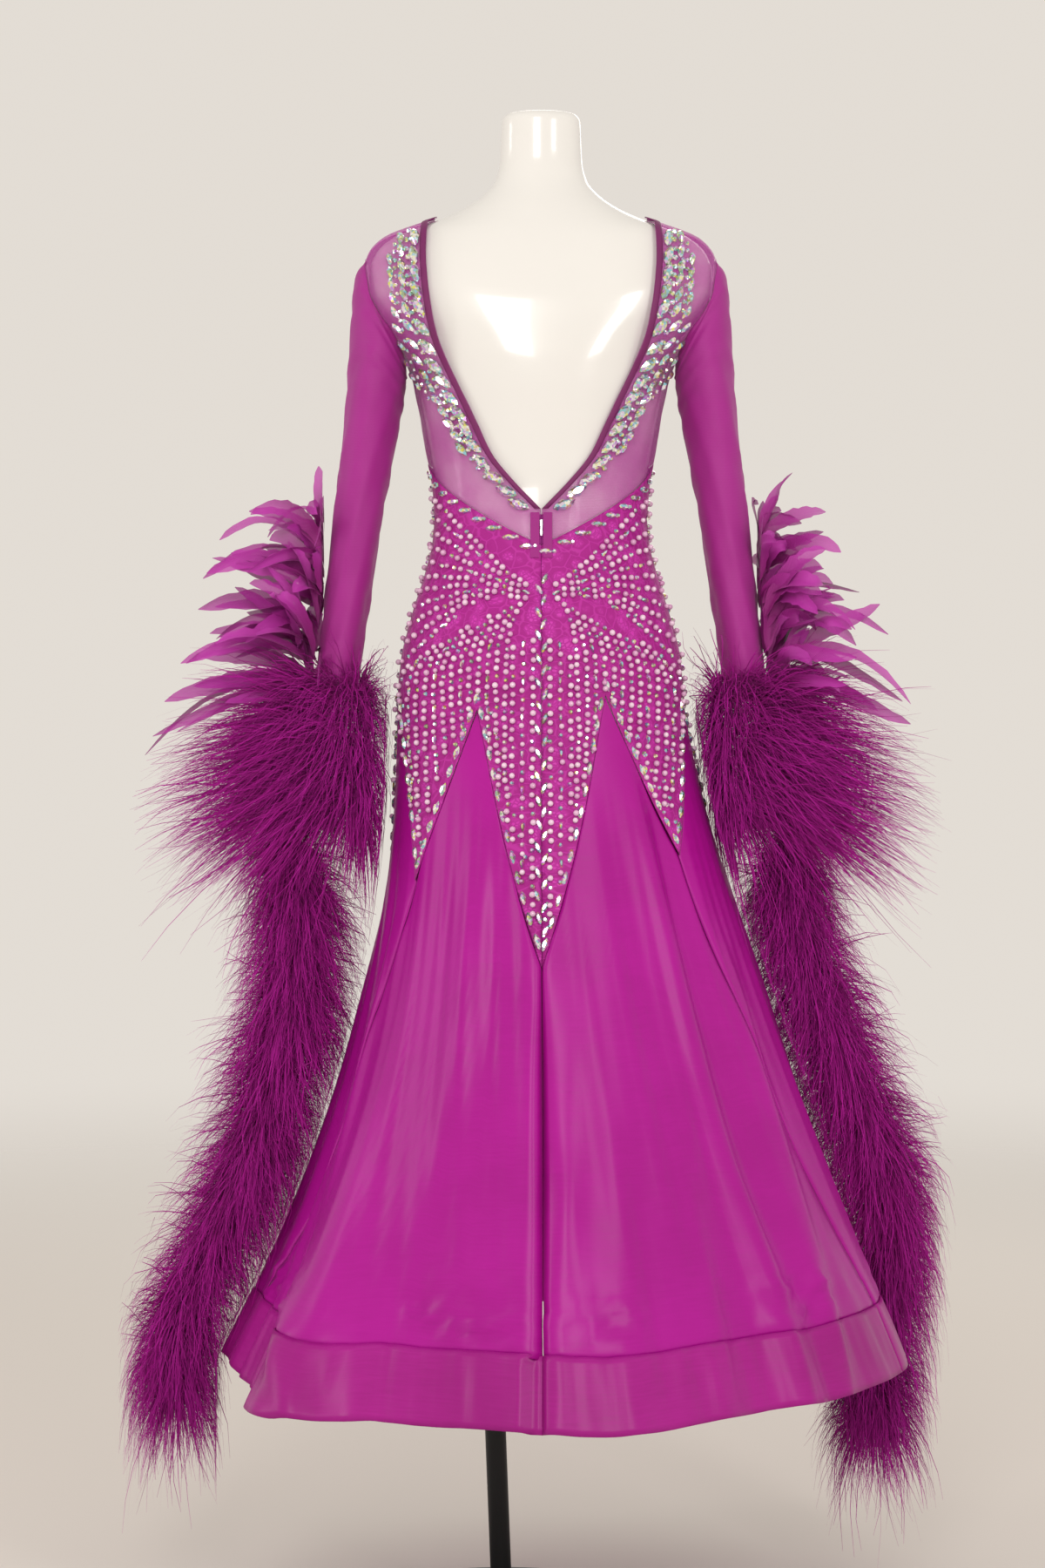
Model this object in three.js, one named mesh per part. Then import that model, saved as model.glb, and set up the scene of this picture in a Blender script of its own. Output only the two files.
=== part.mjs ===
// Ballroom dance dress on a limbless dress form with a pole and a round base.
// Millimetres, +Z up. The dress's back faces -Y and +X is the wearer's right.
// An angle round the body is measured from the back centre, positive towards +X.
import * as THREE from 'three';

// ---------- Driving dimensions ----------
const CLOTH = 1.2; // wall of the mesh, satin and lace
const BAND_CLOTH = 2.4; // folded hem band with its stiff braid
const TRIM = 0.9; // binding and placket tape
const SEAM_GAP = 0.4; // between pieces that are sewn together
const LAY_GAP = 0.3; // between rigid pieces that touch
const TRIM_GAP = 0.8; // between a panel and the trim that lies over its folds
const HEM_Z = 297;
const BAND_TOP_Z = 372;
const HIP_Z = 1050; // below here the skirt leaves the body
const SIDE_SEAM_Z = 1327; // top of the yoke at the side seam
const BACK_YOKE_Z = 1226; // top of the yoke at the back centre
const FRONT_YOKE_DIP = 27; // the yoke's top is this much lower at the front centre
const NECK_V_Z = 1268; // lowest point of the back neckline
const SHOULDER_Z = 1606; // where the neckline crosses the shoulder
const FRONT_NECK_DIP = 106; // the front neckline hangs this far below the shoulder
const ARMHOLE = { z: 1501.5, height: 60.5, reach: 20 * THREE.MathUtils.DEG2RAD, steps: 8 };
const BINDING_WIDTH = 7;
const FORM_SLACK = 1.5; // the form is this much smaller than the body the dress is cut for
const POLE_RADIUS = 12;
const POLE_FOOT = new THREE.Vector3(-44, 0, 8.4);
const POLE_TOP = new THREE.Vector3(-80, 0, 949);
const BASE = { radius: 200, height: 8, edge: 2 };

const GODET_COUNT = 7;
const GODET_ANGLE = (2 * Math.PI) / GODET_COUNT;
const QUARTER = Math.PI / 2;

const COLOURS = {
  satin: { color: 0xa8208a, roughness: 0.42, metalness: 0 },
  lace: { color: 0x8c1f78, roughness: 0.6, metalness: 0 },
  mesh: { color: 0xc05ab0, roughness: 0.7, metalness: 0 },
  binding: { color: 0x84186c, roughness: 0.6, metalness: 0 },
  feather: { color: 0x7c1766, roughness: 0.9, metalness: 0 },
  plume: { color: 0x9c2f8c, roughness: 0.7, metalness: 0 },
  form: { color: 0xf2efe8, roughness: 0.2, metalness: 0 },
  steel: { color: 0x161617, roughness: 0.4, metalness: 0.6 },
  zip: { color: 0xb9b9c0, roughness: 0.3, metalness: 0.9 },
};

// ---------- Tables ----------
function table(columns, rows) {
  const names = columns.split(' ');
  return rows.map((row) => Object.fromEntries(row.map((value, i) => [names[i], value])));
}

// Level sections of the form: half width, depth behind and in front of the axis, the
// space that the cloth keeps from it, and how square the section is (2 is an ellipse).
const BODY = table('z half back front ease square', [
  [962, 112, 78, 68, 1.6, 2],
  [968, 132, 92, 80, 1.6, 2],
  [980, 146, 104, 90, 1.6, 2],
  [1010, 158, 118, 98, 1.6, 2],
  [1050, 161, 124, 101, 1.8, 2],
  [1100, 157, 121, 101, 1.8, 2],
  [1130, 151, 115, 101, 1.8, 2],
  [1160, 142.5, 107, 100, 1.8, 2],
  [1200, 129.5, 94, 95, 1.8, 2],
  [1240, 120.5, 84.5, 88, 1.8, 2],
  [1262, 118.5, 82, 86, 1.8, 2],
  [1290, 120, 82, 89, 1.8, 2],
  [1327, 126, 86, 100, 1.8, 2],
  [1372, 134, 93, 117, 1.8, 2.1],
  [1422, 144, 101, 124, 2.2, 2.2],
  [1446, 149, 103, 120, 6, 2.4],
  [1472, 163, 103, 112, 9, 2.6],
  [1495, 184, 101, 104, 7, 2.7],
  [1520, 197, 96, 95, 5, 2.7],
  [1545, 198, 89, 85, 5, 2.6],
  [1565, 192, 82, 75, 5, 2.5],
  [1582, 176, 75, 67, 5.5, 2.4],
  [1596, 144, 68, 62, 4.5, 2.2],
  [1606, 118, 63, 61, 3.5, 2],
  [1618, 92, 57, 61, 3, 2],
  [1632, 71, 49, 62, 3, 2],
  [1650, 55, 41, 62, 3, 2],
  [1672, 49, 36, 60, 3, 2],
  [1700, 47.5, 34, 59, 3, 2],
  [1720, 46.5, 33, 58, 3, 2],
  [1727, 42, 28, 53, 3, 2],
  [1729, 35, 22, 46, 3, 2],
]);

// Folds of the hem round the body: its radius, and how late the skirt flares out to it.
const HEM_FOLDS = table('degrees radius lateness', [
  [-180, 392, 1.35],
  [-156, 414, 1.3],
  [-128, 378, 1.7],
  [-105, 374, 2.0],
  [-88, 354, 2.1],
  [-66, 346, 2.2],
  [-45, 418, 1.9],
  [-28, 360, 1.5],
  [-12, 360, 1.3],
  [0, 380, 1.25],
  [10, 394, 1.25],
  [30, 362, 1.25],
  [42, 356, 1.25],
  [52, 374, 1.25],
  [66, 386, 1.25],
  [90, 418, 1.25],
  [108, 396, 1.3],
  [130, 382, 1.4],
  [154, 412, 1.3],
  [180, 392, 1.35],
]);

// The back neckline: distance from the back centre at each level.
const NECKLINE = table('z x', [
  [1268, 0.6],
  [1300, 31],
  [1329, 54],
  [1364, 71],
  [1402, 89],
  [1429, 102],
  [1457, 114],
  [1484, 121],
  [1526, 127],
  [1560, 129],
  [1597, 128],
  [1606, 118],
]);

// Lower tips of the yoke between the godets, and the top of each godet, by place.
const YOKE_POINTS = [761, 881, 868, 860, 858, 866, 852];
const GODET_TOPS = [1059, 1046, 1050, 1054, 1050, 1046, 1043];

// Where the seam below each tip meets the hem, in degrees round the body.
const HEM_SEAMS = [0, 82, 124, 162, 197, 232, 270, 360];

// Right sleeve: outer and inner edge seen from behind, half depth and centre depth.
const SLEEVE = table('outerX outerZ innerX innerZ depth y', [
  [213, 1538, 154, 1432, 51, 0],
  [217.5, 1490, 154, 1422, 55, 1],
  [221, 1440, 158, 1402, 55, 2],
  [227, 1370, 167, 1352, 52, 3],
  [235, 1290, 179, 1281, 49, 4],
  [244, 1200, 192, 1195, 44, 4],
  [254, 1120, 204, 1117, 40, 3],
  [262, 1060, 212, 1058, 37, 2],
]);

// Reach of the feather trims on the right side, from the lowest section up.
const PLUMES = table('z x y halfX halfY', [
  [1098, 332, 0, 56, 44],
  [1140, 326, 0, 60, 48],
  [1200, 316, 0, 62, 46],
  [1260, 304, 0, 60, 42],
  [1310, 290, 0, 46, 34],
  [1345, 270, 0, 20, 18],
]);
const CUFF = table('z x y halfX halfY', [
  [905, 284, 4, 86, 60],
  [950, 290, 4, 94, 72],
  [1000, 284, 4, 98, 74],
  [1056, 268, 4, 84, 68],
  [1088, 256, 4, 58, 56],
]);
const CUFF_HOLE = { x: 235.5, y: 4, halfX: 30, halfY: 42 };
const CUFF_CUT = 0.008; // radians left open at each end of a quarter of the cuff
const BOA_RIGHT = table('z x y halfX halfY', [
  [166, 400, 198, 24, 24],
  [178, 402, 199, 42, 42],
  [225, 406, 201, 52, 50],
  [280, 413, 204, 48, 46],
  [338, 421, 200, 48, 46],
  [396, 425, 182, 50, 48],
  [456, 417, 152, 56, 52],
  [515, 399, 116, 62, 56],
  [610, 363, 86, 66, 58],
  [708, 325, 60, 64, 54],
  [808, 293, 48, 60, 50],
  [865, 288, 46, 54, 46],
  [902, 298, 46, 28, 26],
]);
const BOA_LEFT = table('z x y halfX halfY', [
  [236, -428, 62, 24, 24],
  [250, -428, 62, 44, 42],
  [292, -428, 61, 52, 50],
  [350, -414, 60, 58, 52],
  [402, -391, 58, 62, 54],
  [454, -366, 55, 64, 54],
  [524, -331, 52, 66, 54],
  [606, -309, 50, 68, 52],
  [706, -288, 47, 62, 50],
  [808, -280, 46, 58, 50],
  [865, -286, 46, 54, 46],
  [902, -298, 46, 28, 26],
]);
const BOA_SPLIT_Z = 606;

// ---------- Curves through the tables ----------
function slopeAt(rows, key, field, i) {
  const slope = (j) => (rows[j + 1][field] - rows[j][field]) / (rows[j + 1][key] - rows[j][key]);
  if (i === 0) return slope(0);
  if (i === rows.length - 1) return slope(i - 1);
  const before = slope(i - 1);
  const after = slope(i);
  return before * after <= 0 ? 0 : (2 * before * after) / (before + after);
}

function readTable(rows, key, field, at) {
  const last = rows.length - 1;
  const clamped = THREE.MathUtils.clamp(at, rows[0][key], rows[last][key]);
  let i = 0;
  while (i < last - 1 && rows[i + 1][key] < clamped) i += 1;
  const span = rows[i + 1][key] - rows[i][key];
  const t = (clamped - rows[i][key]) / span;
  const startSlope = slopeAt(rows, key, field, i) * span;
  const endSlope = slopeAt(rows, key, field, i + 1) * span;
  const rise = rows[i + 1][field] - rows[i][field];
  const bend = 3 * rise - 2 * startSlope - endSlope;
  const twist = startSlope + endSlope - 2 * rise;
  return rows[i][field] + t * (startSlope + t * (bend + t * twist));
}

const HEM_ROUND = [-360, 0, 360].flatMap((turn) => {
  const rows = HEM_FOLDS.slice(1).map((row) => ({ ...row, degrees: row.degrees + turn }));
  return rows;
});

// ---------- The body and the cloth over it ----------
function sectionPoint(z, angle, spare) {
  const bend = 2 / readTable(BODY, 'z', 'square', z);
  const side = Math.sin(angle);
  const behind = Math.cos(angle);
  const half = readTable(BODY, 'z', 'half', z) + spare;
  const depth = readTable(BODY, 'z', behind > 0 ? 'back' : 'front', z) + spare;
  const x = half * Math.sign(side) * Math.abs(side) ** bend;
  const y = -depth * Math.sign(behind) * Math.abs(behind) ** bend;
  return new THREE.Vector3(x, y, z);
}

function clothPoint(angle, z) {
  if (z >= HIP_Z) return sectionPoint(z, angle, readTable(BODY, 'z', 'ease', z));
  const point = sectionPoint(HIP_Z, angle, readTable(BODY, 'z', 'ease', HIP_Z));
  const degrees = THREE.MathUtils.euclideanModulo(angle * THREE.MathUtils.RAD2DEG + 180, 360) - 180;
  const radius = readTable(HEM_ROUND, 'degrees', 'radius', degrees);
  const lateness = readTable(HEM_ROUND, 'degrees', 'lateness', degrees);
  const flare = ((HIP_Z - z) / (HIP_Z - HEM_Z)) ** lateness;
  const hem = new THREE.Vector3(radius * Math.sin(angle), -radius * Math.cos(angle), point.z);
  point.lerp(hem, flare);
  point.z = z;
  return point;
}

// The point of the cloth at an angle and a level, moved out along its own normal.
function offsetPoint(angle, z, out) {
  const turn = 0.01;
  const rise = 1;
  const along = clothPoint(angle + turn, z).sub(clothPoint(angle - turn, z));
  const up = clothPoint(angle, z + rise).sub(clothPoint(angle, z - rise));
  return clothPoint(angle, z).addScaledVector(along.cross(up).normalize(), out);
}

// The angle of the cloth's point at a distance x from the centre, on the back half.
function angleAt(x, z) {
  const half = readTable(BODY, 'z', 'half', z) + readTable(BODY, 'z', 'ease', z);
  const ratio = Math.min(Math.abs(x) / half, 1);
  const power = readTable(BODY, 'z', 'square', z) / 2;
  return Math.sign(x) * Math.asin(ratio ** power);
}

// ---------- Closed solids from grids of points ----------
function addQuad(faces, a, b, c, d) {
  faces.push(a, b, c, a, c, d);
}

function makeGeometry(points, faces) {
  const geometry = new THREE.BufferGeometry();
  const numbers = points.flatMap((point) => [point.x, point.y, point.z]);
  geometry.setAttribute('position', new THREE.Float32BufferAttribute(numbers, 3));
  geometry.setIndex(faces);
  geometry.computeVertexNormals();
  return geometry;
}

// A wall over a grid of [angle, z], whose rows go up and whose columns go round.
function wall(grid, inner, outer) {
  const rows = grid.length;
  const columns = grid[0].length;
  const points = [inner, outer].flatMap((out) =>
    grid.flatMap((row) => row.map(([angle, z]) => offsetPoint(angle, z, out))));
  const at = (layer, r, c) => (layer * rows + r) * columns + c;
  const faces = [];
  for (let r = 0; r < rows - 1; r += 1) {
    for (let c = 0; c < columns - 1; c += 1) {
      addQuad(faces, at(1, r, c), at(1, r, c + 1), at(1, r + 1, c + 1), at(1, r + 1, c));
      addQuad(faces, at(0, r, c), at(0, r + 1, c), at(0, r + 1, c + 1), at(0, r, c + 1));
    }
    const end = columns - 1;
    addQuad(faces, at(1, r, 0), at(1, r + 1, 0), at(0, r + 1, 0), at(0, r, 0));
    addQuad(faces, at(1, r + 1, end), at(1, r, end), at(0, r, end), at(0, r + 1, end));
  }
  for (let c = 0; c < columns - 1; c += 1) {
    const top = rows - 1;
    addQuad(faces, at(1, 0, c + 1), at(1, 0, c), at(0, 0, c), at(0, 0, c + 1));
    addQuad(faces, at(1, top, c), at(1, top, c + 1), at(0, top, c + 1), at(0, top, c));
  }
  return makeGeometry(points, faces);
}

// A skin over rings of equal count, closed round; the last ring joins the first if looped.
function skin(rings, looped) {
  const count = rings[0].length;
  const points = rings.flat();
  const faces = [];
  const at = (r, c) => (r % rings.length) * count + (c % count);
  const bands = looped ? rings.length : rings.length - 1;
  for (let r = 0; r < bands; r += 1) {
    for (let c = 0; c < count; c += 1) {
      addQuad(faces, at(r, c), at(r, c + 1), at(r + 1, c + 1), at(r + 1, c));
    }
  }
  if (!looped) {
    [0, rings.length - 1].forEach((r) => {
      const middle = rings[r].reduce((sum, point) => sum.add(point), new THREE.Vector3());
      points.push(middle.divideScalar(count));
      for (let c = 0; c < count; c += 1) {
        const pair = r === 0 ? [at(r, c + 1), at(r, c)] : [at(r, c), at(r, c + 1)];
        faces.push(points.length - 1, ...pair);
      }
    });
  }
  return makeGeometry(points, faces);
}

function ellipseRing({ x, y, z, halfX, halfY }, count) {
  return Array.from({ length: count }, (_, i) => {
    const angle = (i * 2 * Math.PI) / count;
    return new THREE.Vector3(x + halfX * Math.sin(angle), y - halfY * Math.cos(angle), z);
  });
}

function mix(a, b, t) {
  return a.map((value, i) => value + (b[i] - value) * t);
}

function steps(from, to, count) {
  return Array.from({ length: count + 1 }, (_, i) => mix(from, to, i / count));
}

// A grid between two edges that hold the same number of [angle, z] points.
function gridBetween(left, right, columns) {
  return left.map((start, i) => steps(start, right[i], columns));
}

function mirrored(geometry) {
  const copy = geometry.clone().scale(-1, 1, 1);
  copy.setIndex(Array.from(copy.index.array).reverse());
  copy.computeVertexNormals();
  return copy;
}

// ---------- The dress ----------
const part = new THREE.Group();

function add(name, geometry, finish) {
  const mesh = new THREE.Mesh(geometry, new THREE.MeshStandardMaterial(COLOURS[finish]));
  mesh.name = name;
  part.add(mesh);
  return mesh;
}

// A piece on the wearer's right and its mirror image on the left.
function addPair(name, geometry, finish) {
  add(`${name}_right`, geometry, finish);
  add(`${name}_left`, mirrored(geometry), finish);
}

function armholePoint(turn, side, shrink) {
  const reach = ARMHOLE.reach - shrink * THREE.MathUtils.DEG2RAD * 0.4;
  const height = ARMHOLE.height - shrink;
  return [QUARTER - side * reach * Math.sin(turn), ARMHOLE.z + height * Math.cos(turn)];
}

// The outer edge of a bodice panel, upwards: side seam, armhole, shoulder line.
function outerEdge(side) {
  const seam = [SIDE_SEAM_Z, 1342, 1366, 1402].map((z) => [QUARTER, z]);
  const hole = Array.from({ length: ARMHOLE.steps + 1 }, (_, i) =>
    armholePoint(Math.PI * (1 - i / ARMHOLE.steps), side, 0));
  const shoulder = [1576, 1589, 1599, SHOULDER_Z].map((z) => [QUARTER, z]);
  return [...seam, ...hole, ...shoulder];
}

function seamInset(z) {
  return (SEAM_GAP / 2) / clothPoint(QUARTER, z).x;
}

const NECK_LEVELS = [BACK_YOKE_Z, 1247, NECK_V_Z, 1300, 1326, 1350, 1373, 1396, 1418,
  1441, 1466, 1494, 1524, 1552, 1576, 1594, SHOULDER_Z];

function necklineX(z) {
  return z < NECK_V_Z ? SEAM_GAP : readTable(NECKLINE, 'z', 'x', z);
}

function backPanelGrid() {
  const inner = NECK_LEVELS.map((z) => [angleAt(necklineX(z), z), z, necklineX(z)]);
  const outer = outerEdge(1).map(([angle, z]) => [angle - seamInset(z), z]);
  const foot = inner.map((point, i) => {
    const width = angleAt(point[2] + BINDING_WIDTH, point[1]) - point[0];
    return mix(point, outer[i], Math.min(width / (outer[i][0] - point[0]), 0.4)).slice(0, 2);
  });
  const across = gridBetween(foot, outer, 7);
  const grid = across.map((row, i) => [inner[i].slice(0, 2), ...row]);
  grid[0] = grid[0].map(([angle]) => [angle, yokeTop(angle) + SEAM_GAP]);
  return grid;
}

// The front panel's point: row value up the outer edge, across from +X to -X.
function frontPoint([edgeAngle, edgeZ], across) {
  const rise = (edgeZ - SIDE_SEAM_Z) / (SHOULDER_Z - SIDE_SEAM_Z);
  const scoop = 1 - Math.abs(1 - 2 * across) ** 2.6;
  const z = edgeZ - scoop * (FRONT_YOKE_DIP + (FRONT_NECK_DIP - FRONT_YOKE_DIP) * rise);
  const half = clothPoint(QUARTER, z).x;
  const edgeX = clothPoint(edgeAngle, edgeZ).x;
  const ratio = edgeX / clothPoint(QUARTER, edgeZ).x;
  const x = (half * ratio * (1 - rise ** 2) + Math.min(edgeX, half) * rise ** 2) * (1 - 2 * across);
  return [Math.PI - angleAt(x, z), z];
}

function frontGrid(edge, columns) {
  return edge.map((point) => Array.from({ length: columns + 1 }, (_, c) => {
    const inset = c === 0 || c === columns ? seamInset(point[1]) * (c === 0 ? 1 : -1) : 0;
    const [angle, z] = frontPoint(point, (1 - Math.cos((Math.PI * c) / columns)) / 2);
    return [angle + inset, z];
  }));
}

function yokeTop(angle) {
  const side = Math.abs(Math.sin(angle));
  if (Math.cos(angle) < 0) return SIDE_SEAM_Z - FRONT_YOKE_DIP * (1 - side ** 2.6);
  return BACK_YOKE_Z + (SIDE_SEAM_Z - BACK_YOKE_Z) * (Math.abs(angle) / QUARTER);
}

// The zig-zag lower edge of the yoke: tips at whole godet angles, tops between them.
function yokeBottom(angle) {
  const place = THREE.MathUtils.euclideanModulo(angle / GODET_ANGLE, GODET_COUNT);
  const index = Math.floor(place + 1e-9) % GODET_COUNT;
  const along = (place - Math.floor(place + 1e-9)) * 2;
  const next = (index + 1) % GODET_COUNT;
  if (along <= 1) return mix([YOKE_POINTS[index]], [GODET_TOPS[index]], along)[0];
  return mix([GODET_TOPS[index]], [YOKE_POINTS[next]], along - 1)[0];
}

const TIP_STEPS = 4; // divisions between a yoke tip and the next godet top
const YOKE_LEVELS = [0, 0.2, 0.38, 0.52, 0.62, 0.7, 0.77, 0.83, 0.89, 0.945, 1];

// Yoke columns between two angles, counted in eighths of a godet, with plain ends.
function yokeAngles(from, to) {
  const step = GODET_ANGLE / 2 / TIP_STEPS;
  const inside = [];
  for (let i = Math.ceil(from / step + 0.3); i < to / step - 0.3; i += 1) inside.push(i * step);
  return [from, ...inside, to];
}

function yokeGrid(from, to) {
  const angles = yokeAngles(from, to);
  return YOKE_LEVELS.map((level) => angles.map((angle) => {
    const bottom = yokeBottom(angle);
    return [angle, bottom + (yokeTop(angle) - bottom) * level];
  }));
}

function addYoke() {
  const centre = SEAM_GAP / 2 / clothPoint(0, BACK_YOKE_Z).y;
  const side = QUARTER - seamInset(1100);
  add('yoke_back_right', wall(yokeGrid(-centre, side), 0, CLOTH), 'lace');
  add('yoke_back_left', wall(yokeGrid(-side, centre), 0, CLOTH), 'lace');
  add('yoke_front', wall(yokeGrid(QUARTER, 3 * QUARTER), 0, CLOTH), 'lace');
}

// One long edge of a godet, upwards: the seam to the next godet, then the yoke's edge.
function godetEdge(place, topAngle, topZ, inset) {
  const level = (z) => inset / Math.abs(clothPoint(QUARTER, z).x);
  const tipAngle = place * GODET_ANGLE;
  const tipZ = YOKE_POINTS[place % GODET_COUNT];
  const hemAngle = HEM_SEAMS[place] * THREE.MathUtils.DEG2RAD;
  const seam = steps([hemAngle, BAND_TOP_Z], [tipAngle, tipZ], 5);
  const slant = steps([tipAngle, tipZ], [topAngle, topZ], TIP_STEPS).slice(1);
  return [...seam, ...slant].map(([angle, z]) => [angle + level(z), z]);
}

function addGodet(index) {
  const top = (index + 0.5) * GODET_ANGLE;
  const left = godetEdge(index, top, GODET_TOPS[index], SEAM_GAP * 1.6);
  const right = godetEdge(index + 1, top, GODET_TOPS[index], -SEAM_GAP * 1.6);
  left[left.length - 1] = [top - 0.012, GODET_TOPS[index] - 9];
  right[right.length - 1] = [top + 0.012, GODET_TOPS[index] - 9];
  add(`godet_${index + 1}`, wall(gridBetween(left, right, 8), 0, CLOTH), 'satin');
  const inset = SEAM_GAP / 2 / 380;
  const seams = HEM_SEAMS.slice(index, index + 2).map((degrees) => degrees * THREE.MathUtils.DEG2RAD);
  const ends = [seams[0] + inset, seams[1] - inset];
  const band = [HEM_Z, BAND_TOP_Z - SEAM_GAP].map((z) => steps([ends[0], z], [ends[1], z], 8));
  add(`hem_band_${index + 1}`, wall(band, -0.6, BAND_CLOTH - 0.6), 'satin');
}

function addBodice() {
  const back = backPanelGrid();
  addPair('back_mesh', wall(back, 0, CLOTH), 'mesh');
  const front = frontGrid(outerEdge(-1), 16);
  front[0] = front[0].map(([angle]) => [angle, yokeTop(angle) + 1.5 * SEAM_GAP]);
  add('front_bodice', wall(front, 0, CLOTH), 'mesh');
  const lift = CLOTH + TRIM_GAP;
  const binding = back.slice(2).map((row) => row.slice(0, 2));
  addPair('neck_binding', wall(binding, lift, lift + TRIM), 'binding');
  const frontBinding = front.slice(-2).map((row) => row.slice(1, -1));
  add('neck_binding_front', wall(frontBinding, lift, lift + TRIM), 'binding');
}

// ---------- Centre-back fastening ----------
const ZIP = {
  bottomZ: 1100,
  topZ: 1262,
  halfTape: 4.5,
  tapeIn: 2.5,
  tapeOut: 1.7,
  slit: 2.2,
  placket: 12,
  placketZ: 1212,
  lift: 2.1,
};
const SLIDER = { width: 2.8, depth: 2.2, height: 7, z: 1252 };
const PULL = { halfWidth: 1.4, length: 16, thickness: 0.8, z: 1253.5, tip: 0.7 };

function stripGrid(fromX, toX, levels) {
  return levels.map((z) => [fromX, toX].map((x) => [angleAt(x, z), z]));
}

function addFastening() {
  const tapeLevels = [ZIP.bottomZ, 1130, 1160, 1190, 1220, 1240, ZIP.topZ];
  const tape = stripGrid(-ZIP.halfTape, ZIP.halfTape, tapeLevels);
  add('zip_tape', wall(tape, -ZIP.tapeIn, -ZIP.tapeOut), 'binding');
  const levels = [ZIP.placketZ, 1226, 1237, 1247, 1256, 1264];
  const placket = stripGrid(ZIP.slit, ZIP.placket, levels);
  addPair('zip_placket', wall(placket, ZIP.lift, ZIP.lift + TRIM), 'binding');
  const face = clothPoint(0, SLIDER.z).y - ZIP.lift;
  const slider = add('zip_slider', new THREE.BoxGeometry(SLIDER.width, SLIDER.depth, SLIDER.height), 'zip');
  slider.position.set(0, face - SLIDER.depth / 2, SLIDER.z);
  const outline = new THREE.Shape();
  outline.moveTo(-PULL.tip, 0);
  outline.lineTo(-PULL.tip, -3);
  outline.lineTo(-PULL.halfWidth, -PULL.length + 3);
  outline.lineTo(-PULL.tip, -PULL.length);
  outline.lineTo(PULL.tip, -PULL.length);
  outline.lineTo(PULL.halfWidth, -PULL.length + 3);
  outline.lineTo(PULL.tip, -3);
  outline.lineTo(PULL.tip, 0);
  const plate = new THREE.ExtrudeGeometry(outline, { depth: PULL.thickness, bevelEnabled: false });
  const pull = add('zip_pull', plate, 'zip');
  pull.rotation.x = QUARTER;
  pull.position.set(0, face - SLIDER.depth - 0.5, PULL.z);
}

// ---------- Sleeves and feather trims ----------
const SLEEVE_RING = ARMHOLE.steps * 2;

function sleeveTopRing(out) {
  return Array.from({ length: SLEEVE_RING }, (_, i) => {
    const turn = (i * 2 * Math.PI) / SLEEVE_RING;
    const [angle, z] = armholePoint(turn, 1, 1.6);
    return offsetPoint(angle, z, 0.1).add(new THREE.Vector3(1 + out * 0.3, 0, 0))
      .add(new THREE.Vector3(0, -out * Math.sin(turn), out * Math.cos(turn) - 0.2));
  });
}

function sleeveRing(row, out) {
  const outer = new THREE.Vector2(row.outerX, row.outerZ);
  const inner = new THREE.Vector2(row.innerX, row.innerZ);
  const centre = outer.clone().add(inner).divideScalar(2);
  const arm = outer.clone().sub(inner).divideScalar(2);
  arm.setLength(arm.length() + out);
  return Array.from({ length: SLEEVE_RING }, (_, i) => {
    const turn = (i * 2 * Math.PI) / SLEEVE_RING;
    const x = centre.x + arm.x * Math.cos(turn);
    const z = centre.y + arm.y * Math.cos(turn);
    return new THREE.Vector3(x, row.y - (row.depth + out) * Math.sin(turn), z);
  });
}

function addSleeves() {
  const down = (out) => [sleeveTopRing(out), ...SLEEVE.map((row) => sleeveRing(row, out))];
  const outside = down(0).reverse();
  const inside = down(-CLOTH);
  const rings = [...outside, ...inside].map((ring) => ring.reverse());
  addPair('sleeve', skin(rings, true), 'mesh');
}

// A section through the feather cuff's wall, down its outside and up its hole.
function cuffSection(angle) {
  const at = ({ x, y, halfX, halfY }, z) =>
    new THREE.Vector3(x + halfX * Math.sin(angle), y - halfY * Math.cos(angle), z);
  const outside = CUFF.map((row) => at(row, row.z)).reverse();
  const inside = [CUFF[0], CUFF[CUFF.length - 1]].map((row) => at(CUFF_HOLE, row.z));
  return [...outside, ...inside];
}

function addFeathers() {
  addPair('plumes', skin(PLUMES.map((row) => ellipseRing(row, 14)), false), 'plume');
  for (let quarter = 0; quarter < 4; quarter += 1) {
    const from = quarter * QUARTER + CUFF_CUT;
    const sweep = steps([from], [from + QUARTER - 2 * CUFF_CUT], 5);
    const sections = sweep.map(([angle]) => cuffSection(angle));
    addPair(`cuff_feather_${quarter + 1}`, skin(sections, false), 'feather');
  }
  Object.entries({ left: BOA_LEFT, right: BOA_RIGHT }).forEach(([side, rows]) => {
    const split = rows.findIndex((row) => row.z >= BOA_SPLIT_Z);
    const lower = rows.slice(0, split + 1).map((row) => ellipseRing(row, 14));
    const upper = rows.slice(split).map((row) => ellipseRing(row, 14));
    upper[0].forEach((point) => { point.z += SEAM_GAP; });
    add(`boa_${side}_lower`, skin(lower, false), 'feather');
    add(`boa_${side}_upper`, skin(upper, false), 'feather');
  });
}

// ---------- The form and its stand ----------
function addForm() {
  const rings = BODY.map(({ z }) => Array.from({ length: 28 }, (_, i) =>
    sectionPoint(z, (i * 2 * Math.PI) / 28, -FORM_SLACK)));
  add('form_torso', skin(rings, false), 'form');
}

function lathe(profile, segments) {
  const outline = profile.map(([radius, height]) => new THREE.Vector2(radius, height));
  return new THREE.LatheGeometry(outline, segments).rotateX(QUARTER);
}

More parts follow.
